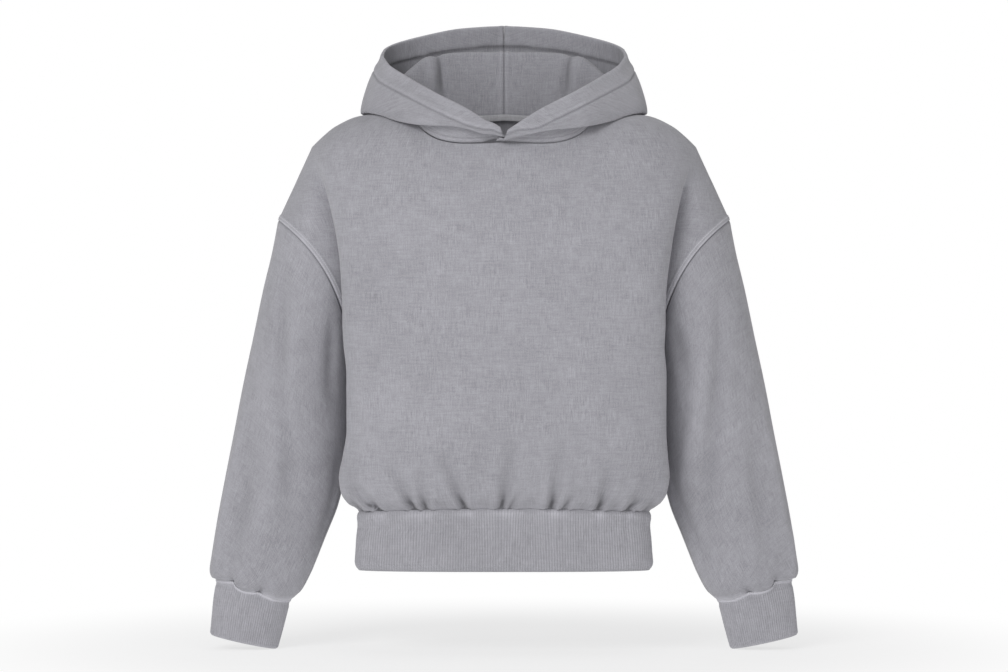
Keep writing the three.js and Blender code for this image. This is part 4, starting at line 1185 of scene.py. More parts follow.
@dataclass
class BodyPanel:
    """The front or the back of the body, cut in one piece with its dropped shoulders."""

    node: str
    half: Half
    gathers: Table
    creases: Table
    cut_flat: Tuple[float, float]
    cut_area: float
    low_rows: int = 76
    high_rows: int = 72
    middle_columns: int = 54
    flank_columns: int = 46
    side_columns: int = 42
    crowd: float = 1.3
    even: float = 0.3
    least_slant: float = 0.12
    # Painted highlight on fold crests and painted shade in the gathers
    crest_highlight: float = 0.04
    tuck_dark: float = 1.5
    knit_drop: float = 0.8
    thread_over: float = 0.16
    w: Array = field(init=False, repr=False)
    slant: Array = field(init=False, repr=False)
    outer: Array = field(init=False, repr=False)
    edge_normals: Array = field(init=False, repr=False)

    def grid(self) -> Array:
        """Outer points without folds: level rows below the armpit, rising rows above it."""
        rows = BodyRows()
        z = WAIST_SEAM + (ARMPIT[1] - WAIST_SEAM) * (np.arange(self.low_rows) / self.low_rows) ** self.crowd
        k = np.arange(self.high_rows + 1) / self.high_rows
        self.w = self.even * k + (1 - self.even) * (1 - np.cos(math.pi * k)) / 2
        low = rows.low(self.half, z)
        high = rows.high(self.half, self.w)
        line = np.concatenate([low, high])
        neck = rows.neck_mark(self.half, self.full_w(self.low_rows))[:, None]
        middle = np.arange(self.middle_columns) / self.middle_columns
        flank = np.arange(self.flank_columns) / self.flank_columns
        side = 2 - (1 - np.arange(self.side_columns + 1) / self.side_columns) ** self.crowd
        places = np.hstack([neck * middle, neck + (1 - neck) * flank, np.tile(side, (len(line), 1))])
        right = resample(line[..., :3], places, line[..., 3])
        left = right[:, :0:-1] * np.array([-1, 1, 1])
        return settle(np.concatenate([left, right], axis=1))

    def build(self) -> Wall:
        """Works the wall out: folds and seams go onto the outer points, and the inner ones follow."""
        grid = self.grid()
        turn = -self.half.sign
        bare = normals(grid, False, turn)
        x, above = grid[..., 0], grid[..., 2] - WAIST_SEAM
        from_seam = smooth(*SIDE_FADE, np.abs(grid[..., 1] - SIDE_Y))
        folds = gather_relief(self.gathers, x, above)
        folds += puckers(x, above, pitch=8.7, high=0.3, reach=10)
        folds += crease_relief(self.creases, x, grid[..., 2])
        grid = grid + bare * (folds * from_seam)[..., None]
        out = normals(grid, False, turn)
        self.edge_normals = out
        run = lengths(grid)
        high = len(grid) - len(self.w)
        away = np.minimum(run, run[:, -1:] - run)
        armhole = (np.arange(len(grid)) > high)[:, None]
        edge_way = unit(np.gradient(grid[:, -1], axis=0))
        row_way = unit(grid[:, -1] - grid[:, -4])
        straight = np.sum(edge_way * row_way, axis=-1) ** 2
        self.slant = np.sqrt(np.clip(1 - straight, self.least_slant, 1))
        away = away * self.slant[:, None]
        share = smooth(*TWIN_FROM, self.full_w(high))[:, None]
        plain = seam_relief(away, Seam.GROOVE) * (1 - share)
        relief = np.where(armhole, seam_relief(away, Seam.TWIN) * share + plain, plain)
        up = lengths(np.swapaxes(grid, 0, 1)).T
        down = up[-1:] - up
        relief = relief + seam_relief(up, Seam.GROOVE) + seam_relief(down, Seam.GROOVE)
        outer = grid + out * relief[..., None]
        offset = -out * FLEECE
        offset[0] = keep_side(offset[0], np.array([0, 0, -1.0]), FLEECE)
        seam_plane = np.array([0, -self.half.sign, 0])
        for column, side in ((0, -1), (-1, 1)):
            across = armhole_side(self.w) * np.array([side, 0, 1])
            offset[high:, column] = keep_side(offset[high:, column], across, FLEECE)
            offset[:high + 1, column] = keep_side(offset[:high + 1, column], seam_plane, FLEECE)
        offset[-1] = keep_side(offset[-1], seam_plane, FLEECE)
        apart = np.array([0, self.half.sign * SEAM_GAP / 2, 0])
        self.outer = outer + apart
        # Pale wear along the armhole's raised allowance and its lines of stitches, and along the waist and
        # shoulder seams
        band = ARMHOLE_BAND_PALE * (1 - smooth(*ARMHOLE_BAND_END, away))
        pale = (band + ARMHOLE_PALE.at(away)) * armhole + WAIST_PALE.at(up) + SHOULDER_PALE.at(down)
        # Painted highlight on the folds' crests
        crest = np.clip(folds, 0, 2) * self.crest_highlight
        # Painted shade in the gathers' mouths and beside them, and along the waist seam
        tucks = tuck_shade(self.gathers, x, up) * from_seam
        shade = WAIST_DARK.at(up) + self.tuck_dark * tucks
        depth = np.abs(grid[..., 1] - SIDE_Y)
        lost = np.maximum(0, depth[high] - depth) * armhole
        middle = run[:, grid.shape[1] // 2][:, None]
        pattern = (run - middle, grid[..., 2] - WAIST_SEAM + self.knit_drop * lost)
        return Wall(self.outer, grid + offset + apart, False, pale + crest, shade, pattern=pattern)

    def full_w(self, high: int) -> Array:
        """Place up the armhole of every row, nothing below the armpit."""
        return np.concatenate([np.zeros(high), self.w])

    def twin_paths(self) -> List[Tuple[Array, Array]]:
        """The two lines of stitches beside each armhole, from the armpit to the shoulder's tip."""
        high = len(self.outer) - len(self.w)
        paths = []
        for flip in (False, True):
            grid = self.outer[high:, ::-1] if flip else self.outer[high:]
            up = self.edge_normals[high:, ::-1] if flip else self.edge_normals[high:]
            run = lengths(grid)
            for inset in (TWIN_NEAR, TWIN_FAR):
                want = run[:, -1] - inset / self.slant[high:]
                points = np.array([[np.interp(x, r, row[:, a]) for a in range(3)]
                                   for x, r, row in zip(want, run, grid)])
                paths.append((points + up[:, -3] * self.thread_over, up[:, -3]))
        return paths

    def dress(self, wardrobe: Wardrobe) -> bpy.types.Object:
        obj = cloth(self.node, self.build(), [wardrobe.face, wardrobe.inside])
        threads = Stitches(pitch=3.1).along(f"{self.node}_armhole_stitches", self.twin_paths(),
                                            wardrobe.pale_thread)
        dressed(threads)
        return obj


def ring(tab: Table, s: Array, angle: Array, front: Array, back: Array, mid_y: Array, bow: bool) -> Array:
    """Points of a tube's ring: between its inner and outer line as half a cosine, and deep as a sine."""
    turn = np.radians(angle)
    m = (1 - np.cos(turn)) / 2
    deep = np.where(np.sin(turn) > 0, front, back)
    out = tab.at("bow", s) * np.sin(turn) ** 2 if bow else 0
    across = unit(np.array([TIP[1] - ARMPIT[1], ARMPIT[0] - TIP[0]]))
    x = lerp(tab.at("inX", s), tab.at("outX", s), m) - out * across[0]
    z = lerp(tab.at("inZ", s), tab.at("outZ", s), m) - out * across[1]
    y = mid_y - deep * np.sin(turn)
    return np.stack(np.broadcast_arrays(x, y, z), axis=-1)


def ring_middle(tab: Table, s: Array, mid_y: Array) -> Array:
    """Middles of a tube's rings: halfway between its inner and outer line."""
    x = (tab.at("inX", s) + tab.at("outX", s)) / 2
    z = (tab.at("inZ", s) + tab.at("outZ", s)) / 2
    return np.stack(np.broadcast_arrays(x, mid_y, z), axis=-1)


def cuff_axis() -> Array:
    """The way down the arm at the cuff's seam, square to the line across it."""
    d = np.array([CUFF.at("inZ", 0) - CUFF.at("outZ", 0), 0, CUFF.at("outX", 0) - CUFF.at("inX", 0)])
    return -unit(d)


def scallop(angle: Array) -> Array:
    """How far the cuff's seam sags under the straight line across it, by the angle round it."""
    return -CUFF_SEAM.at("up", np.mod(angle, 360)) - CUFF_SEAM_HIGHER


def notch_pull(angle: Array, s: Array) -> Array:
    """How far the sleeve is drawn in above each notch, as a narrow bell that dies away up the arm."""
    total = 0
    for k, notch in enumerate(CUFF_NOTCHES):
        away = np.mod(angle - notch + 180, 360) - 180
        high = NOTCH_HIGH[k % len(NOTCH_HIGH)]
        lean = away + (1 - s) * NOTCH_LEAN[k % len(NOTCH_LEAN)]
        fade = np.clip(1 - (1 - s) / high, 0, 1) ** NOTCH_FADE
        total = total + bell(lean, NOTCH_WIDE + NOTCH_WIDENS * (1 - s)) * fade
    return total


@dataclass
class Sleeve:
    """A sleeve: one tube from the armhole to the cuff, with its underarm seam on the inner line."""

    node: str
    side: int
    folds: Table
    cut_flat: Tuple[float, float]
    cut_area: float
    rows: int = 150
    columns: int = 140
    seam_angle: float = 12.0
    fold_factor: float = 2.0
    folds_start: Tuple[float, float] = (0, 0.12)
    folds_end: Tuple[float, float] = (0.985, 1)
    billow: float = 0.7
    billow_grows: Tuple[float, float] = (0.86, 0.975)
    gap_fade: Tuple[float, float] = (0, 0.03)
    sag_grows: Tuple[float, float] = (0.93, 1)
    # Painted highlight on fold crests, painted shade in fold troughs and above the cuff's notches
    crest_highlight: float = 0.16
    crest_full: float = 2.0
    trough_dark: float = 0.34
    trough_full: float = 3.0
    notch_dark: float = 1.7
    notch_dark_from: float = 2.0
    notch_dark_fade: float = 6.0

    def relief(self, s: Array, angle: Array, radius: Array) -> Array:
        """Folds along the sleeve: each is a bell across a line that drifts round it."""
        total = np.zeros(np.broadcast(s, angle).shape)
        for row in self.folds.rows():
            t = np.clip((s - row["start"]) / (row["end"] - row["start"]), 0, 1)
            away = np.mod(angle - lerp(row["angle"], row["toAngle"], t) + 180, 360) - 180
            arc = np.radians(away) * radius
            total = total + row["high"] * np.sin(math.pi * t) * bell(arc, row["wide"])
        return total

    def build(self) -> Wall:
        """Works the wall out: rings along the arm, folds outwards, and the seams at both ends."""
        k = np.arange(self.rows + 1) / self.rows
        s = (0.5 * k + 0.5 * (1 - np.cos(math.pi * k)) / 2)[:, None]
        angle = (self.seam_angle + 360 * np.arange(self.columns) / self.columns)[None]
        mid_y = SLEEVE.at("midY", s)
        p = ring(SLEEVE, s, angle, SLEEVE.at("front", s), SLEEVE.at("back", s), mid_y, True)
        middle = ring_middle(SLEEVE, s, mid_y)
        out = p - middle
        radius = np.linalg.norm(out, axis=-1)
        before_end = 1 - smooth(*self.folds_end, s)
        long_folds = self.relief(s, angle, radius) * smooth(*self.folds_start, s) * before_end
        billow = self.billow * (smooth(*self.billow_grows, s) * before_end)
        pull = notch_pull(angle, s)
        folds = self.fold_factor * long_folds + billow - NOTCH_PULL * pull
        p = p + unit(out) * folds[..., None]
        w = (1 - np.cos(np.radians(angle[0]))) / 2
        across = armhole_side(w)
        p = p + across[None] * (SEAM_GAP * (1 - smooth(*self.gap_fade, s)))[..., None]
        sag = scallop(angle) * smooth(*self.sag_grows, s)
        p = p + cuff_axis() * sag[..., None]
        n = normals(p, True)
        n = n * np.sign(np.sum(n * (p - middle), axis=-1, keepdims=True))
        up = lengths(np.swapaxes(p, 0, 1)).T
        top, bottom = up, up[-1:] - up
        relief = SLEEVE_TOP_RELIEF.at(top) + SLEEVE_END_RELIEF.at(bottom)
        outer = p + n * relief[..., None]
        offset = -n * FLEECE
        offset[0] = keep_side(offset[0], -across, FLEECE)
        offset[-1] = keep_side(offset[-1], cuff_axis()[None], FLEECE)
        # Pale wear along the cuff seam's welt, and a painted highlight on the folds' crests
        crest = np.clip(long_folds / self.crest_full, 0, 1)
        pale = SLEEVE_END_PALE.at(bottom) + self.crest_highlight * crest
        # Painted shade in the folds' troughs, above the cuff's notches and along the seams at both ends
        trough = np.clip(-long_folds / self.trough_full, 0, 1)
        fade = np.exp(-np.maximum(bottom - self.notch_dark_from, 0) / self.notch_dark_fade)
        groove = SLEEVE_TOP_DARK.at(top) + self.notch_dark * pull**2 * fade \
            + SLEEVE_END_DARK.at(bottom) + self.trough_dark * trough
        mirror = np.array([self.side, 1, 1])
        return Wall(outer * mirror, (p + offset) * mirror, True, pale, groove, centred=True)

    def dress(self, wardrobe: Wardrobe) -> bpy.types.Object:
        obj = cloth(self.node, self.build(), [wardrobe.arm, wardrobe.inside])
        return obj


# Ribs, with painted highlight on their crests and painted shade in their grooves, and bumps of a cuff and of
# the band by the share of the way down from the seam. The cuff's pale marks are wear; the band's pale marks
# are painted highlight and its dark marks painted shade.
RIB_CREST = 0.75
RIB_GROOVE = 1.3
RIB_PALE = 0.14
CUFF_TUCK = Bumps(((1.3, 0.022, 0.02), (-0.9, 0.075, 0.03)))
CUFF_PALE = Bumps(((0.2, 1, 0.03), (1.15, 0.018, 0.022)))
BAND_SWELL = Bumps(((0.7, 0.12, 0.08), (-1.9, 0.27, 0.11)))
BAND_TUCK = Bumps(((-1.6, 0, 0.035),))
BAND_DROP = Bumps(((SEAM_GAP, 0, 0.03),))
BAND_PALE = Bumps(((0.7, 0.07, 0.06),))
BAND_SEAM_DARK = Bumps(((0.35, 0, 0.03),))


def rib_profile(place: Array, ribs: int) -> Array:
    """A rib's height by its share of the way round: round crests and narrow grooves, from 0 to 1."""
    return np.abs(np.sin(math.pi * ribs * place)) ** RIB_CREST


@dataclass
class Cuff:
    """A ribbed cuff: a tube that narrows to the wrist, folded at its lower edge."""

    node: str
    side: int
    cut_flat: Tuple[float, float]
    cut_area: float
    ribs: int = 82
    per_rib: int = 5
    rows: int = 26
    rib_high: float = 0.75
    ring_steps: int = 480
    sag_fade: Tuple[float, float] = (0, 0.34)
    gap_fade: Tuple[float, float] = (0, 0.05)
    ribs_start: Tuple[float, float] = (0, 0.06)
    ribs_end: Tuple[float, float] = (0.975, 1)
    ribs_lower: float = 0.6
    turned_in: float = 0.9
    turned_from: Tuple[float, float] = (0.965, 1)
    top: Array = field(init=False, repr=False)
    top_normals: Array = field(init=False, repr=False)

    def build(self) -> Wall:
        """Works the wall out: even columns round each ring, ribs outwards, and a sagging seam on top."""
        s = ((1 - np.cos(math.pi * np.arange(self.rows + 1) / self.rows)) / 2)[:, None]
        dense = np.arange(self.ring_steps + 1)[None] * 360 / self.ring_steps
        deep = CUFF.at("deep", s)
        p = ring(CUFF, s, dense, deep, deep, CUFF_Y, False)
        columns = self.ribs * self.per_rib
        places = np.arange(columns) / columns
        run = lengths(p[:1])[0]
        angle = np.interp(places, run / run[-1], dense[0])[None]
        p = resample(p, places)
        out = unit(p - ring_middle(CUFF, s, CUFF_Y))
        sag = scallop(angle) * (1 - smooth(*self.sag_fade, s))
        p = p + cuff_axis() * (sag + SEAM_GAP * (1 - smooth(*self.gap_fade, s)))[..., None]
        rib = rib_profile(places, self.ribs)[None]
        ends = smooth(*self.ribs_start, s) * (1 - smooth(*self.ribs_end, s) * self.ribs_lower)
        wave = ring_wave(angle / 360, high=0.7, times=3, phase=math.radians(40)) * np.sin(math.pi * s) \
            + ring_wave(angle / 360, high=0.4, times=7, phase=math.radians(100)) * (1 - s)
        tuck = CUFF_TUCK.at(s) - self.turned_in * smooth(*self.turned_from, s)
        outer = p + out * (rib * self.rib_high * ends + wave + tuck)[..., None]
        inner = p + out * (wave - RIB_WALL)[..., None]
        mirror = np.array([self.side, 1, 1])
        # Painted highlight on the ribs' crests, and pale wear along the seam's welt and the folded edge
        pale = RIB_PALE * rib * ends + CUFF_PALE.at(s)
        self.top = (outer[1] + 0.5 * out[1]) * mirror
        self.top_normals = out[0] * mirror
        # Painted shade in the ribs' grooves
        return Wall(outer * mirror, inner * mirror, True, pale, (1 - rib) ** RIB_GROOVE * ends)

    def dress(self, wardrobe: Wardrobe) -> bpy.types.Object:
        obj = cloth(self.node, self.build(), [wardrobe.cuff, wardrobe.cuff])
        path = np.concatenate([self.top, self.top[:1]])
        up = np.concatenate([self.top_normals, self.top_normals[:1]])
        row = Stitches(pitch=2.6, share=1.0, radius=0.5)
        threads = row.along(f"{self.node}_seam_stitches", [(path, up)], wardrobe.pale_thread)
        dressed(threads)
        return obj


@dataclass
class Waistband:
    """The ribbed band round the waist, folded at its lower edge."""

    node: str
    cut_flat: Tuple[float, float]
    cut_area: float
    ribs: int = 304
    per_rib: int = 5
    rows: int = 17
    rib_high: float = 0.75
    ribs_start: Tuple[float, float] = (0, 0.05)
    ribs_end: Tuple[float, float] = (0.975, 1)
    ribs_lower: float = 0.6
    faces_front: Tuple[float, float] = (30, 85)
    drawn_share: float = 0.28
    drawn_fade: float = 1.5
    turned_in: float = 1.0
    turned_from: Tuple[float, float] = (0.965, 1)
    rolled_front: float = 2.5
    rolled_side: float = 6.5
    rolled_from: Tuple[float, float] = (0.84, 1)
    rolled_power: float = 2.2
    # Share of the painted highlight left in the ribs' grooves, and painted shade under the rolled lower edge
    knit_share: float = 0.45
    edge_dark: float = 0.7
    edge_dark_from: Tuple[float, float] = (0.955, 1)

    def build(self) -> Wall:
        """Works the wall out: even columns round each level ring, with ribs outwards."""
        t = (1 - np.cos(math.pi * np.arange(self.rows + 1) / self.rows)) / 2
        z = lerp(WAIST_SEAM, WAIST_BOTTOM, t)
        rows = BodyRows()
        front, back = rows.low(FRONT, z)[..., :3], rows.low(BACK, z)[..., :3]
        right = np.concatenate([front, back[:, -2::-1]], axis=1)
        left = right[:, -2::-1] * np.array([-1, 1, 1])
        whole = np.concatenate([right, left], axis=1)
        columns = self.ribs * self.per_rib
        places = np.arange(columns) / columns
        fan = ring_wave(places, high=0.0017, times=11, phase=0.7) + ring_wave(places, high=0.001, times=17)
        plain = settle(resample(whole, np.clip(places + fan * (1 - t[:, None]) ** 2, 0, 1)))
        n = unit(normals(plain, True) * np.array([1, 1, 0]))
        n = n * np.sign(np.sum(n * (plain - np.array([0, SIDE_Y, 0])), axis=-1, keepdims=True))
        rib = rib_profile(places, self.ribs)[None]
        up = t[:, None]
        ends = smooth(*self.ribs_start, up) * (1 - self.ribs_lower * smooth(*self.ribs_end, up))
        x = plain[..., 0]
        behind = plain[..., 1] > SIDE_Y
        from_side = np.abs(plain[..., 1] - SIDE_Y)
        facing = smooth(*self.faces_front, from_side)
        drawn = np.where(behind, gather_relief(BACK_GATHERS, x, np.zeros_like(x)),
                         gather_relief(FRONT_GATHERS, x, np.zeros_like(x)))
        wave = self.drawn_share * drawn * (1 - up) ** self.drawn_fade * smooth(*SIDE_FADE, from_side) \
            + ring_wave(places, high=0.8, times=13, phase=1) * np.sin(math.pi * up) \
            + BAND_SWELL.at(up) * facing
        tuck = BAND_TUCK.at(up) - self.turned_in * smooth(*self.turned_from, up)
        amount = self.rolled_front + self.rolled_side * (1 - facing)
        rolled = -amount * smooth(*self.rolled_from, up) ** self.rolled_power
        outer = plain + n * (rib * self.rib_high * ends + wave + tuck + rolled)[..., None]
        inner = plain + n * (wave + rolled - RIB_WALL)[..., None]
        drop = np.array([0, 0, -1.0]) * BAND_DROP.at(up)[..., None]
        # Painted highlight where the band stands proud under the gathers, weaker in the ribs' grooves
        near_tucks = sum(bell(x - place, wide) for place, wide in LIGHT_PATCHES)
        proud_highlight = BAND_PALE.at(up) * near_tucks * lerp(self.knit_share, 1, rib) * ~behind
        # Painted highlight on the ribs' crests
        pale = RIB_PALE * rib * ends + proud_highlight
        # Painted shade in the ribs' grooves, along the top seam and under the rolled lower edge
        shade = (1 - rib) ** RIB_GROOVE * ends + BAND_SEAM_DARK.at(up) \
            + self.edge_dark * smooth(*self.edge_dark_from, up)
        return Wall(outer + drop, inner + drop, True, pale, shade)

    def dress(self, wardrobe: Wardrobe) -> bpy.types.Object:
        obj = cloth(self.node, self.build(), [wardrobe.rib, wardrobe.rib])
        return obj


def body_top(x: Array, y: Array) -> Array:
    """Height of the body's upper surface under a point, far below where the body doesn't reach.

    The place across and the place up the body are found in turn, twelve times over.
    """
    result = np.full(np.broadcast(x, y).shape, OFF_BODY)
    for half in (FRONT, BACK):
        wide, _, deep, belt = section(half, ARMPIT[1])
        w = np.full(result.shape, 0.9)
        xi = np.zeros(result.shape)
        reached = np.ones(result.shape, bool)
        for _ in range(12):
            span = lerp(wide, FOLD_TOP_X, w) - FOLD_BOW * w * (1 - w) * xi
            xi = np.clip(np.abs(x) / span, 0, 1)
            depth = belt + (deep - belt) * fall(xi, SECTION_ROUND)
            share = np.abs(y - SIDE_Y) / depth
            reached &= share < 1
            w = fall(share, half.round)
        height = lerp(ARMPIT[1], RIDGE.at("z", xi * FOLD_TOP_X), w)
        mine = (y < SIDE_Y) if half.sign < 0 else (y >= SIDE_Y)
        result = np.where(mine & reached, height, result)
    return result


def neck_point(angle: Array) -> Array:
    """Point of the neck seam by the angle round it from the front, on a rounded oval."""
    turn = np.radians(angle)
    before = np.abs(angle) < 90
    reach = np.where(before, NECK_FRONT, NECK_BACK)
    power = np.where(before, NECK_ROUND_FRONT, NECK_ROUND_BACK)
    r = (np.abs(np.sin(turn) / NECK_HALF) ** power
         + np.abs(np.cos(turn) / reach) ** power) ** (-1 / power)
    x, y = r * np.sin(turn), SIDE_Y - r * np.cos(turn)
    return np.stack([x, y, body_top(x, y)], axis=-1)


@dataclass
class HoodHalf:
    """One side of the hood, laid open and back: roll, underside, lower fold and hemmed edge."""

    node: str
    side: int
    cut_flat: Tuple[float, float]
    cut_area: float
    angles: int = 132
    places: int = 136
    hem_places: int = 20
    steps: int = 240
    thread_over: float = 0.12
    hem: Tuple[Array, Array] = field(init=False, repr=False)
    hem_inside: Tuple[Array, Array] = field(init=False, repr=False)

    def profile(self, angle: Array, shift: float) -> Array:
        """Points that the hood passes through at each angle, from the neck seam to the open edge."""
        a = np.abs(angle)
        sign = np.where(angle < 0, -1.0, 1.0)

        def point(name: str) -> Array:
            """One named point of the table at each angle."""
            return np.stack([HOOD.at(name + "X", a) * sign, HOOD.at(name + "Y", a),
                             HOOD.at(name + "Z", a)], axis=-1)

        seam = neck_point(angle) + np.array([0, 0, HOOD_SEAM_GAP])
        roll, fold, edge = point("roll"), point("fold"), point("edge")
        if shift < 0:
            fold[..., 2] += FLAP_LIFT.at(a)
        fold[..., 0] += sign * HOOD_CORNERS.at(a)
        fold[..., 2] -= CORNER_DROP * HOOD_CORNERS.at(a)
        lift = np.stack([0 * a, 0 * a, HOOD.at("lift", a)], axis=-1)
        over = lerp(roll, fold, OVER_SHARE) + lift
        flank = (fold + edge) / 2
        out = unit(np.stack([flank[..., 0], flank[..., 1] - BULGE_FROM_Y, 0 * a], axis=-1))
        bulged = flank + out * BULGE_SHARE * HOOD.at("bulge", a)[:, None]
        points = np.stack([seam, (seam + roll) / 2, roll, over, lerp(roll, fold, DROP_SHARE), fold,
                           bulged, edge], axis=1)
        forward = 1 - smooth(*HOOD_APART_FADE, a)
        points[..., 1] -= (shift * forward)[:, None]
        points[..., 2] += self.under_rise(angle, shift)[:, None]
        return points

    @staticmethod
    def under_rise(angle: Array, shift: float) -> Array:
        """How much the under one of the two front edges is raised where they cross."""
        if shift > 0:
            return np.zeros_like(angle)
        return HOOD_UNDER_RISE * (1 - smooth(*HOOD_UNDER_FADE, np.abs(angle)))

    @staticmethod
    def along(points: Array, t: Array) -> Array:
        """A cubic through the points, whose slope at each is that from the one before to the one after.

        Args:
            points: For each place wanted, the points of its own profile.
            t: How far along its profile each place lies.

        Returns:
            One point for each place.
        """
        k = HOOD_KNOTS
        before = np.maximum(np.arange(len(k)) - 1, 0)
        after = np.minimum(np.arange(len(k)) + 1, len(k) - 1)
        tangent = (points[:, after] - points[:, before]) / (k[after] - k[before])[None, :, None]
        i = np.clip(np.searchsorted(k, t, side="left") - 1, 0, len(k) - 2)
        n = np.arange(len(t))
        h = (k[i + 1] - k[i])[:, None]
        u = ((t - k[i]) / (k[i + 1] - k[i]))[:, None]
        return (points[n, i] * (2 * u**3 - 3 * u * u + 1) + h * tangent[n, i] * (u**3 - 2 * u * u + u)
                + points[n, i + 1] * (3 * u * u - 2 * u**3) + h * tangent[n, i + 1] * (u**3 - u * u))

    def laid(self) -> Tuple[Array, Array]:
        """Outer points without seams: profiles round the neck, kept clear of the shoulders they lie on.

        Returns:
            One row of points for each profile, and the profiles' angles.
        """
        shift = HOOD_LAYERS_APART if self.side > 0 else -HOOD_LAYERS_APART
        k = np.arange(self.angles + 1) / self.angles
        base = -HOOD_PAST_MIDDLE + (180 + HOOD_PAST_MIDDLE) * (1 - (1 - k) ** HOOD_CROWD)
        t = np.linspace(0, 1, self.steps)
        slant = HOOD_POINT_SLANT * (1 - smooth(-HOOD_PAST_MIDDLE, HOOD_POINT_TO, base))
        angle = base[:, None] + slant[:, None] * t[None]
        every = np.broadcast_to(t, angle.shape).ravel()
        grid = self.along(self.profile(angle.ravel(), shift), every).reshape(*angle.shape, 3)
        floor = body_top(grid[..., 0], grid[..., 1]) + BODY_CLEARANCE + self.under_rise(angle, shift)
        rise = grid[..., 2] - floor
        soft = (rise + np.sqrt(rise**2 + SOFT_LANDING)) / 2
        lifted = np.where(floor > OFF_BODY / 2, floor + soft, grid[..., 2])
        grid[..., 2] = lerp(grid[..., 2], lifted, smooth(0, HOOD_SEAM_HOLD, t)[None])
        grid[-1, :, 0] = SEAM_GAP / 2
        run = lengths(grid)
        whole = run[:, -1:]
        hem_wide = HEM_WIDE * whole / (whole + HEM_SHORT) * smooth(*HEM_GROWS, whole)
        rolled = np.maximum(run[:, [int(ROLL_PLACE * (len(t) - 1))]], 0.1)
        main = whole - hem_wide
        beyond = ROLL_MARK + (1 - ROLL_MARK) * (run - rolled) / (main - rolled)
        marks = np.where(run < rolled, ROLL_MARK * run / rolled, beyond)
        marks = np.where(run < main, marks, 1 + (run - main) / hem_wide)
        m = np.linspace(0, 1, 400)
        crowd = np.cumsum(1 + PROFILE_CROWD.at(m))
        even = np.linspace(crowd[0], crowd[-1], self.places - self.hem_places)
        above = 1 + np.linspace(0, 1, self.hem_places + 1)[1:] ** HEM_CROWD
        grid = resample(grid, np.concatenate([np.interp(even, crowd, m), above]), marks)
        crease = NAPE_FOLDS.at(base)[:, None] * NAPE_REACH.at(shares(grid))
        grid = grid - normals(grid, False, -1) * crease[..., None]
        grid[..., 2] += PEAK_ARCH.at(base)[:, None] * smooth(*PEAK_ROWS, shares(grid))
        grid[-1, :, 0] = SEAM_GAP / 2
        return grid, base

    def build(self) -> Wall:
        """Works the wall out: seams, hem and marks go onto the outer points, and the inner ones follow."""
        grid, base = self.laid()
        grid = np.swapaxes(grid, 0, 1)
        n = normals(grid, False, 1)
        up = lengths(np.swapaxes(grid, 0, 1)).T
        from_edge = up[-1:] - up
        row = self.places - self.hem_places - 1
        hem_line = from_edge[row]
        from_hem = from_edge - hem_line
        round_run = lengths(grid)
        from_middle = round_run[:, -1:] - round_run
        sewn = lerp(MIDDLE_SEWN_LEAST, 1, smooth(*MIDDLE_SEWN_GROWS, from_edge))
        relief = HEM_RELIEF.at(from_hem) + HOOD_EDGE_RELIEF.at(from_edge) + HOOD_NECK_RELIEF.at(up) \
            + HOOD_MIDDLE_RELIEF.at(from_middle) * sewn + self.ripples(round_run, from_hem)
        outer = grid + n * relief[..., None]
        thick = lerp(FLEECE, HEM_FLEECE, smooth(*HEM_THICKENS, -from_hem))[..., None]
        offset = -n * thick
        offset[:, -1] = keep_side(offset[:, -1], np.array([-1.0, 0, 0]), FLEECE)
        offset[0] = keep_side(offset[0], np.array([0, 0, -1.0]), FLEECE)
        inner = grid + offset
        sunk = HEM_SUNK.at(from_hem) + HOOD_MIDDLE_SUNK.at(from_middle)
        inner = inner + n * sunk[..., None]
        mirror = np.array([self.side, 1, 1])
        out = n[row, 4:-1] * mirror
        self.hem = (outer[row, 4:-1] * mirror + out * self.thread_over, out)
        self.hem_inside = (inner[row, 4:-1] * mirror - out * self.thread_over, -out)
        # Painted highlight on the nape fold's ridge and painted shade in its hollow; pale wear along the
        # edge, the hem and the middle seam; painted shade in the hem's groove, along the middle seam and the
        # stand line
        nape = NAPE_SHADING_REACH.at(up / up[-1:])
        pale = HOOD_EDGE_PALE.at(from_edge) + HEM_PALE.at(from_hem) \
            + HOOD_MIDDLE_PALE.at(from_middle) + NAPE_PALE.at(base[None]) * nape
        groove = HEM_DARK.at(from_hem) + HOOD_MIDDLE_DARK.at(from_middle) + STAND_DARK.at(up) \
            + NAPE_SHADE.at(base[None]) * nape
        return Wall(outer * mirror, inner * mirror, False, pale, groove, pattern=(from_middle, up))

    @staticmethod
    def ripples(round_run: Array, from_hem: Array) -> Array:
        """Small uneven ripples that the hem's stitches draw into the cloth beside them."""
        wave = np.sin(round_run / 4.1) * 0.5 + np.sin(round_run / 6.7 + 1.1) * 0.5
        return wave * HEM_RIPPLES.at(from_hem)

    def dress(self, wardrobe: Wardrobe) -> bpy.types.Object:
        obj = cloth(self.node, self.build(), [wardrobe.face, wardrobe.inside])
        row = Stitches(pitch=3.2, share=0.82, radius=0.34)
        threads = row.along(f"{self.node}_hem_stitches", [self.hem, self.hem_inside], wardrobe.thread)
        dressed(threads)
        return obj


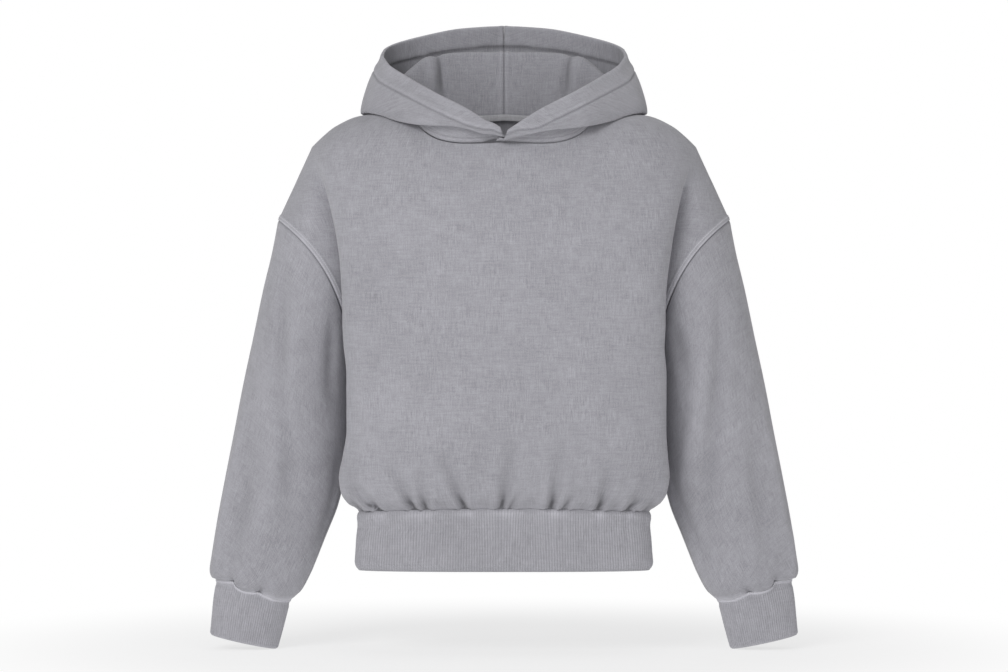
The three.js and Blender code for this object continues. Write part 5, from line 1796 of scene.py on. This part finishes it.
@dataclass
class NeckTape:
    """The narrow tape that covers the neck seam inside the back."""

    node: str
    cut_flat: Tuple[float, float]
    cut_area: float
    angle: float = 86.0
    inset: float = 3.1
    thick: float = 0.9
    up: float = 4.5
    down: float = 3.0
    crown: float = 0.25
    steps: int = 160

    def build(self) -> Wall:
        """Works the wall out: a band that follows the neck seam at an even distance inside it."""
        angle = lerp(self.angle, 360 - self.angle, np.arange(self.steps + 1) / self.steps)
        p = neck_point(np.where(angle > 180, angle - 360, angle))
        out = unit(np.stack([p[:, 0] / NECK_HALF**2, (p[:, 1] - SIDE_Y) / NECK_BACK**2, 0 * angle], -1))
        rise = np.linspace(-self.down, self.up, 7)[:, None]
        line = p[None] + np.array([0, 0, 1.0]) * rise[..., None]
        middle, half = (self.up - self.down) / 2, (self.up + self.down) / 2
        crown = self.crown * (1 - ((rise - middle) / half) ** 2)[..., None]
        outer = line - out[None] * self.inset
        inner = line - out[None] * (self.inset + self.thick + crown)
        flat = np.zeros(line.shape[:2])
        return Wall(outer, inner, False, flat + 0.2, flat)

    def dress(self, wardrobe: Wardrobe) -> bpy.types.Object:
        obj = cloth(self.node, self.build(), [wardrobe.tape, wardrobe.tape])
        return obj


@dataclass(frozen=True)
class Lamp:
    """A round light: its place and size in metres and its power in watts."""

    name: str
    place: Tuple[float, float, float]
    size: float
    power: float


# A broad key from the upper left, a weaker fill from the right, low and top light, and one behind
LAMPS = (
    Lamp("key", (-1.55, -3.0, 1.7), 2.0, 62.5), Lamp("fill", (2.6, -2.4, 0.3), 2.4, 8),
    Lamp("low", (-0.4, -3.0, -0.45), 1.6, 10), Lamp("top", (0.1, -0.5, 2.6), 1.4, 5),
    Lamp("back", (0.3, 2.6, 2.0), 2.2, 7),
)


@dataclass(frozen=True)
class Studio:
    """A pale floor, soft light and the camera at the photograph's angle, in metres."""

    camera_far: float = 4.0
    camera_height: float = -0.270
    lens: float = 114.3
    floor_gap: float = 0.0005
    floor_half: float = 6.0
    glow_near: float = 0.7
    glow_grows: Tuple[float, float] = (0.3, 0.85)
    lamps_aim: Tuple[float, float, float] = (0, 0, -0.25)
    air_light: float = 0.3

    def camera(self) -> None:
        """Level camera that looks along Y."""
        data = bpy.data.cameras.new("camera")
        data.lens = self.lens
        data.sensor_width = 36
        obj = bpy.data.objects.new("camera", data)
        obj.location = (0, -self.camera_far, self.camera_height)
        obj.rotation_euler = (math.pi / 2, 0, 0)
        bpy.context.collection.objects.link(obj)
        bpy.context.scene.camera = obj

    def floor(self) -> None:
        """Flat square just under the object, matt where the object stands and glowing far from it."""
        z = cad_low[2] - self.floor_gap
        h = self.floor_half
        mesh = bpy.data.meshes.new("floor")
        mesh.from_pydata([(-h, -h, z), (h, -h, z), (h, h, z), (-h, h, z)], [], [(0, 1, 2, 3)])
        g = Graph("pale_floor")
        where = g.node("TexCoord").outputs["Object"]
        flat = g.stretched(where, (1, 1, 0))
        far = Value(g, g.node("VectorMath", {"operation": "LENGTH"}, {0: flat}).outputs["Value"])
        matt = g.node("BsdfPrincipled", None, {"Base Color": (0.93, 0.93, 0.935, 1), "Roughness": 0.9})
        glow = g.node("Emission", None, {"Color": (1, 1, 1, 1), "Strength": 1.0})
        share = far.ramp(*self.glow_grows) * (1 - self.glow_near) + self.glow_near
        mix = g.node("MixShader", None, {0: share, 1: matt.outputs[0], 2: glow.outputs[0]})
        g.node("OutputMaterial", None, {"Surface": mix.outputs[0]})
        obj = put("floor", mesh, [g.material])

    def lights(self) -> None:
        """The lamps, turned to the object, in air that looks white and lights it softly."""
        for lamp in LAMPS:
            data = bpy.data.lights.new(lamp.name, "AREA")
            data.shape = "DISK"
            data.size = lamp.size
            data.energy = lamp.power
            obj = bpy.data.objects.new(lamp.name, data)
            obj.location = lamp.place
            aim = np.array(self.lamps_aim) - np.array(lamp.place)
            obj.rotation_euler = (math.acos(-aim[2] / np.linalg.norm(aim)), 0,
                                  math.atan2(aim[1], aim[0]) - math.pi / 2)
            bpy.context.collection.objects.link(obj)
        world = bpy.data.worlds.new("air")
        world.use_nodes = True
        tree = world.node_tree
        tree.nodes.clear()
        seen = tree.nodes.new("ShaderNodeBackground")
        seen.inputs[1].default_value = 1.0
        light = tree.nodes.new("ShaderNodeBackground")
        light.inputs[1].default_value = self.air_light
        for node in (seen, light):
            node.inputs[0].default_value = (1, 1, 1, 1)
        path = tree.nodes.new("ShaderNodeLightPath")
        mix = tree.nodes.new("ShaderNodeMixShader")
        out = tree.nodes.new("ShaderNodeOutputWorld")
        tree.links.new(path.outputs["Is Camera Ray"], mix.inputs[0])
        tree.links.new(light.outputs[0], mix.inputs[1])
        tree.links.new(seen.outputs[0], mix.inputs[2])
        tree.links.new(mix.outputs[0], out.inputs[0])
        bpy.context.scene.world = world

    def build(self) -> None:
        """Sets up all of it."""
        self.camera()
        self.floor()
        self.lights()
        bpy.context.scene.view_settings.view_transform = "Standard"


def main() -> None:
    """Builds the studio and then each piece."""
    logging.basicConfig(level=logging.INFO, format="%(name)s: %(message)s", force=True)
    Studio().build()
    wardrobe = Wardrobe()
    pieces = [
        BodyPanel("front_panel", FRONT, FRONT_GATHERS, FRONT_CREASES, (0.84, 0.58), 0.30),
        BodyPanel("back_panel", BACK, BACK_GATHERS, BACK_CREASES, (0.775, 0.565), 0.274,
                  low_rows=68, high_rows=66, middle_columns=40, flank_columns=34, side_columns=34),
        Sleeve("sleeve_left", -1, SLEEVE_FOLDS_LEFT, (0.428, 0.472), 0.159),
        Sleeve("sleeve_right", 1, SLEEVE_FOLDS_RIGHT, (0.428, 0.472), 0.159),
        Cuff("cuff_left", -1, (0.25, 0.064), 0.0155),
        Cuff("cuff_right", 1, (0.25, 0.064), 0.0155),
        Waistband("waistband_rib", (0.96, 0.075), 0.072),
        HoodHalf("hood_left", -1, (0.40, 0.32), 0.103),
        HoodHalf("hood_right", 1, (0.40, 0.32), 0.103),
        NeckTape("neck_tape", (0.29, 0.010), 0.0022),
    ]
    for piece in pieces:
        piece.dress(wardrobe)
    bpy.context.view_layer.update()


if __name__ == "__main__":
    main()
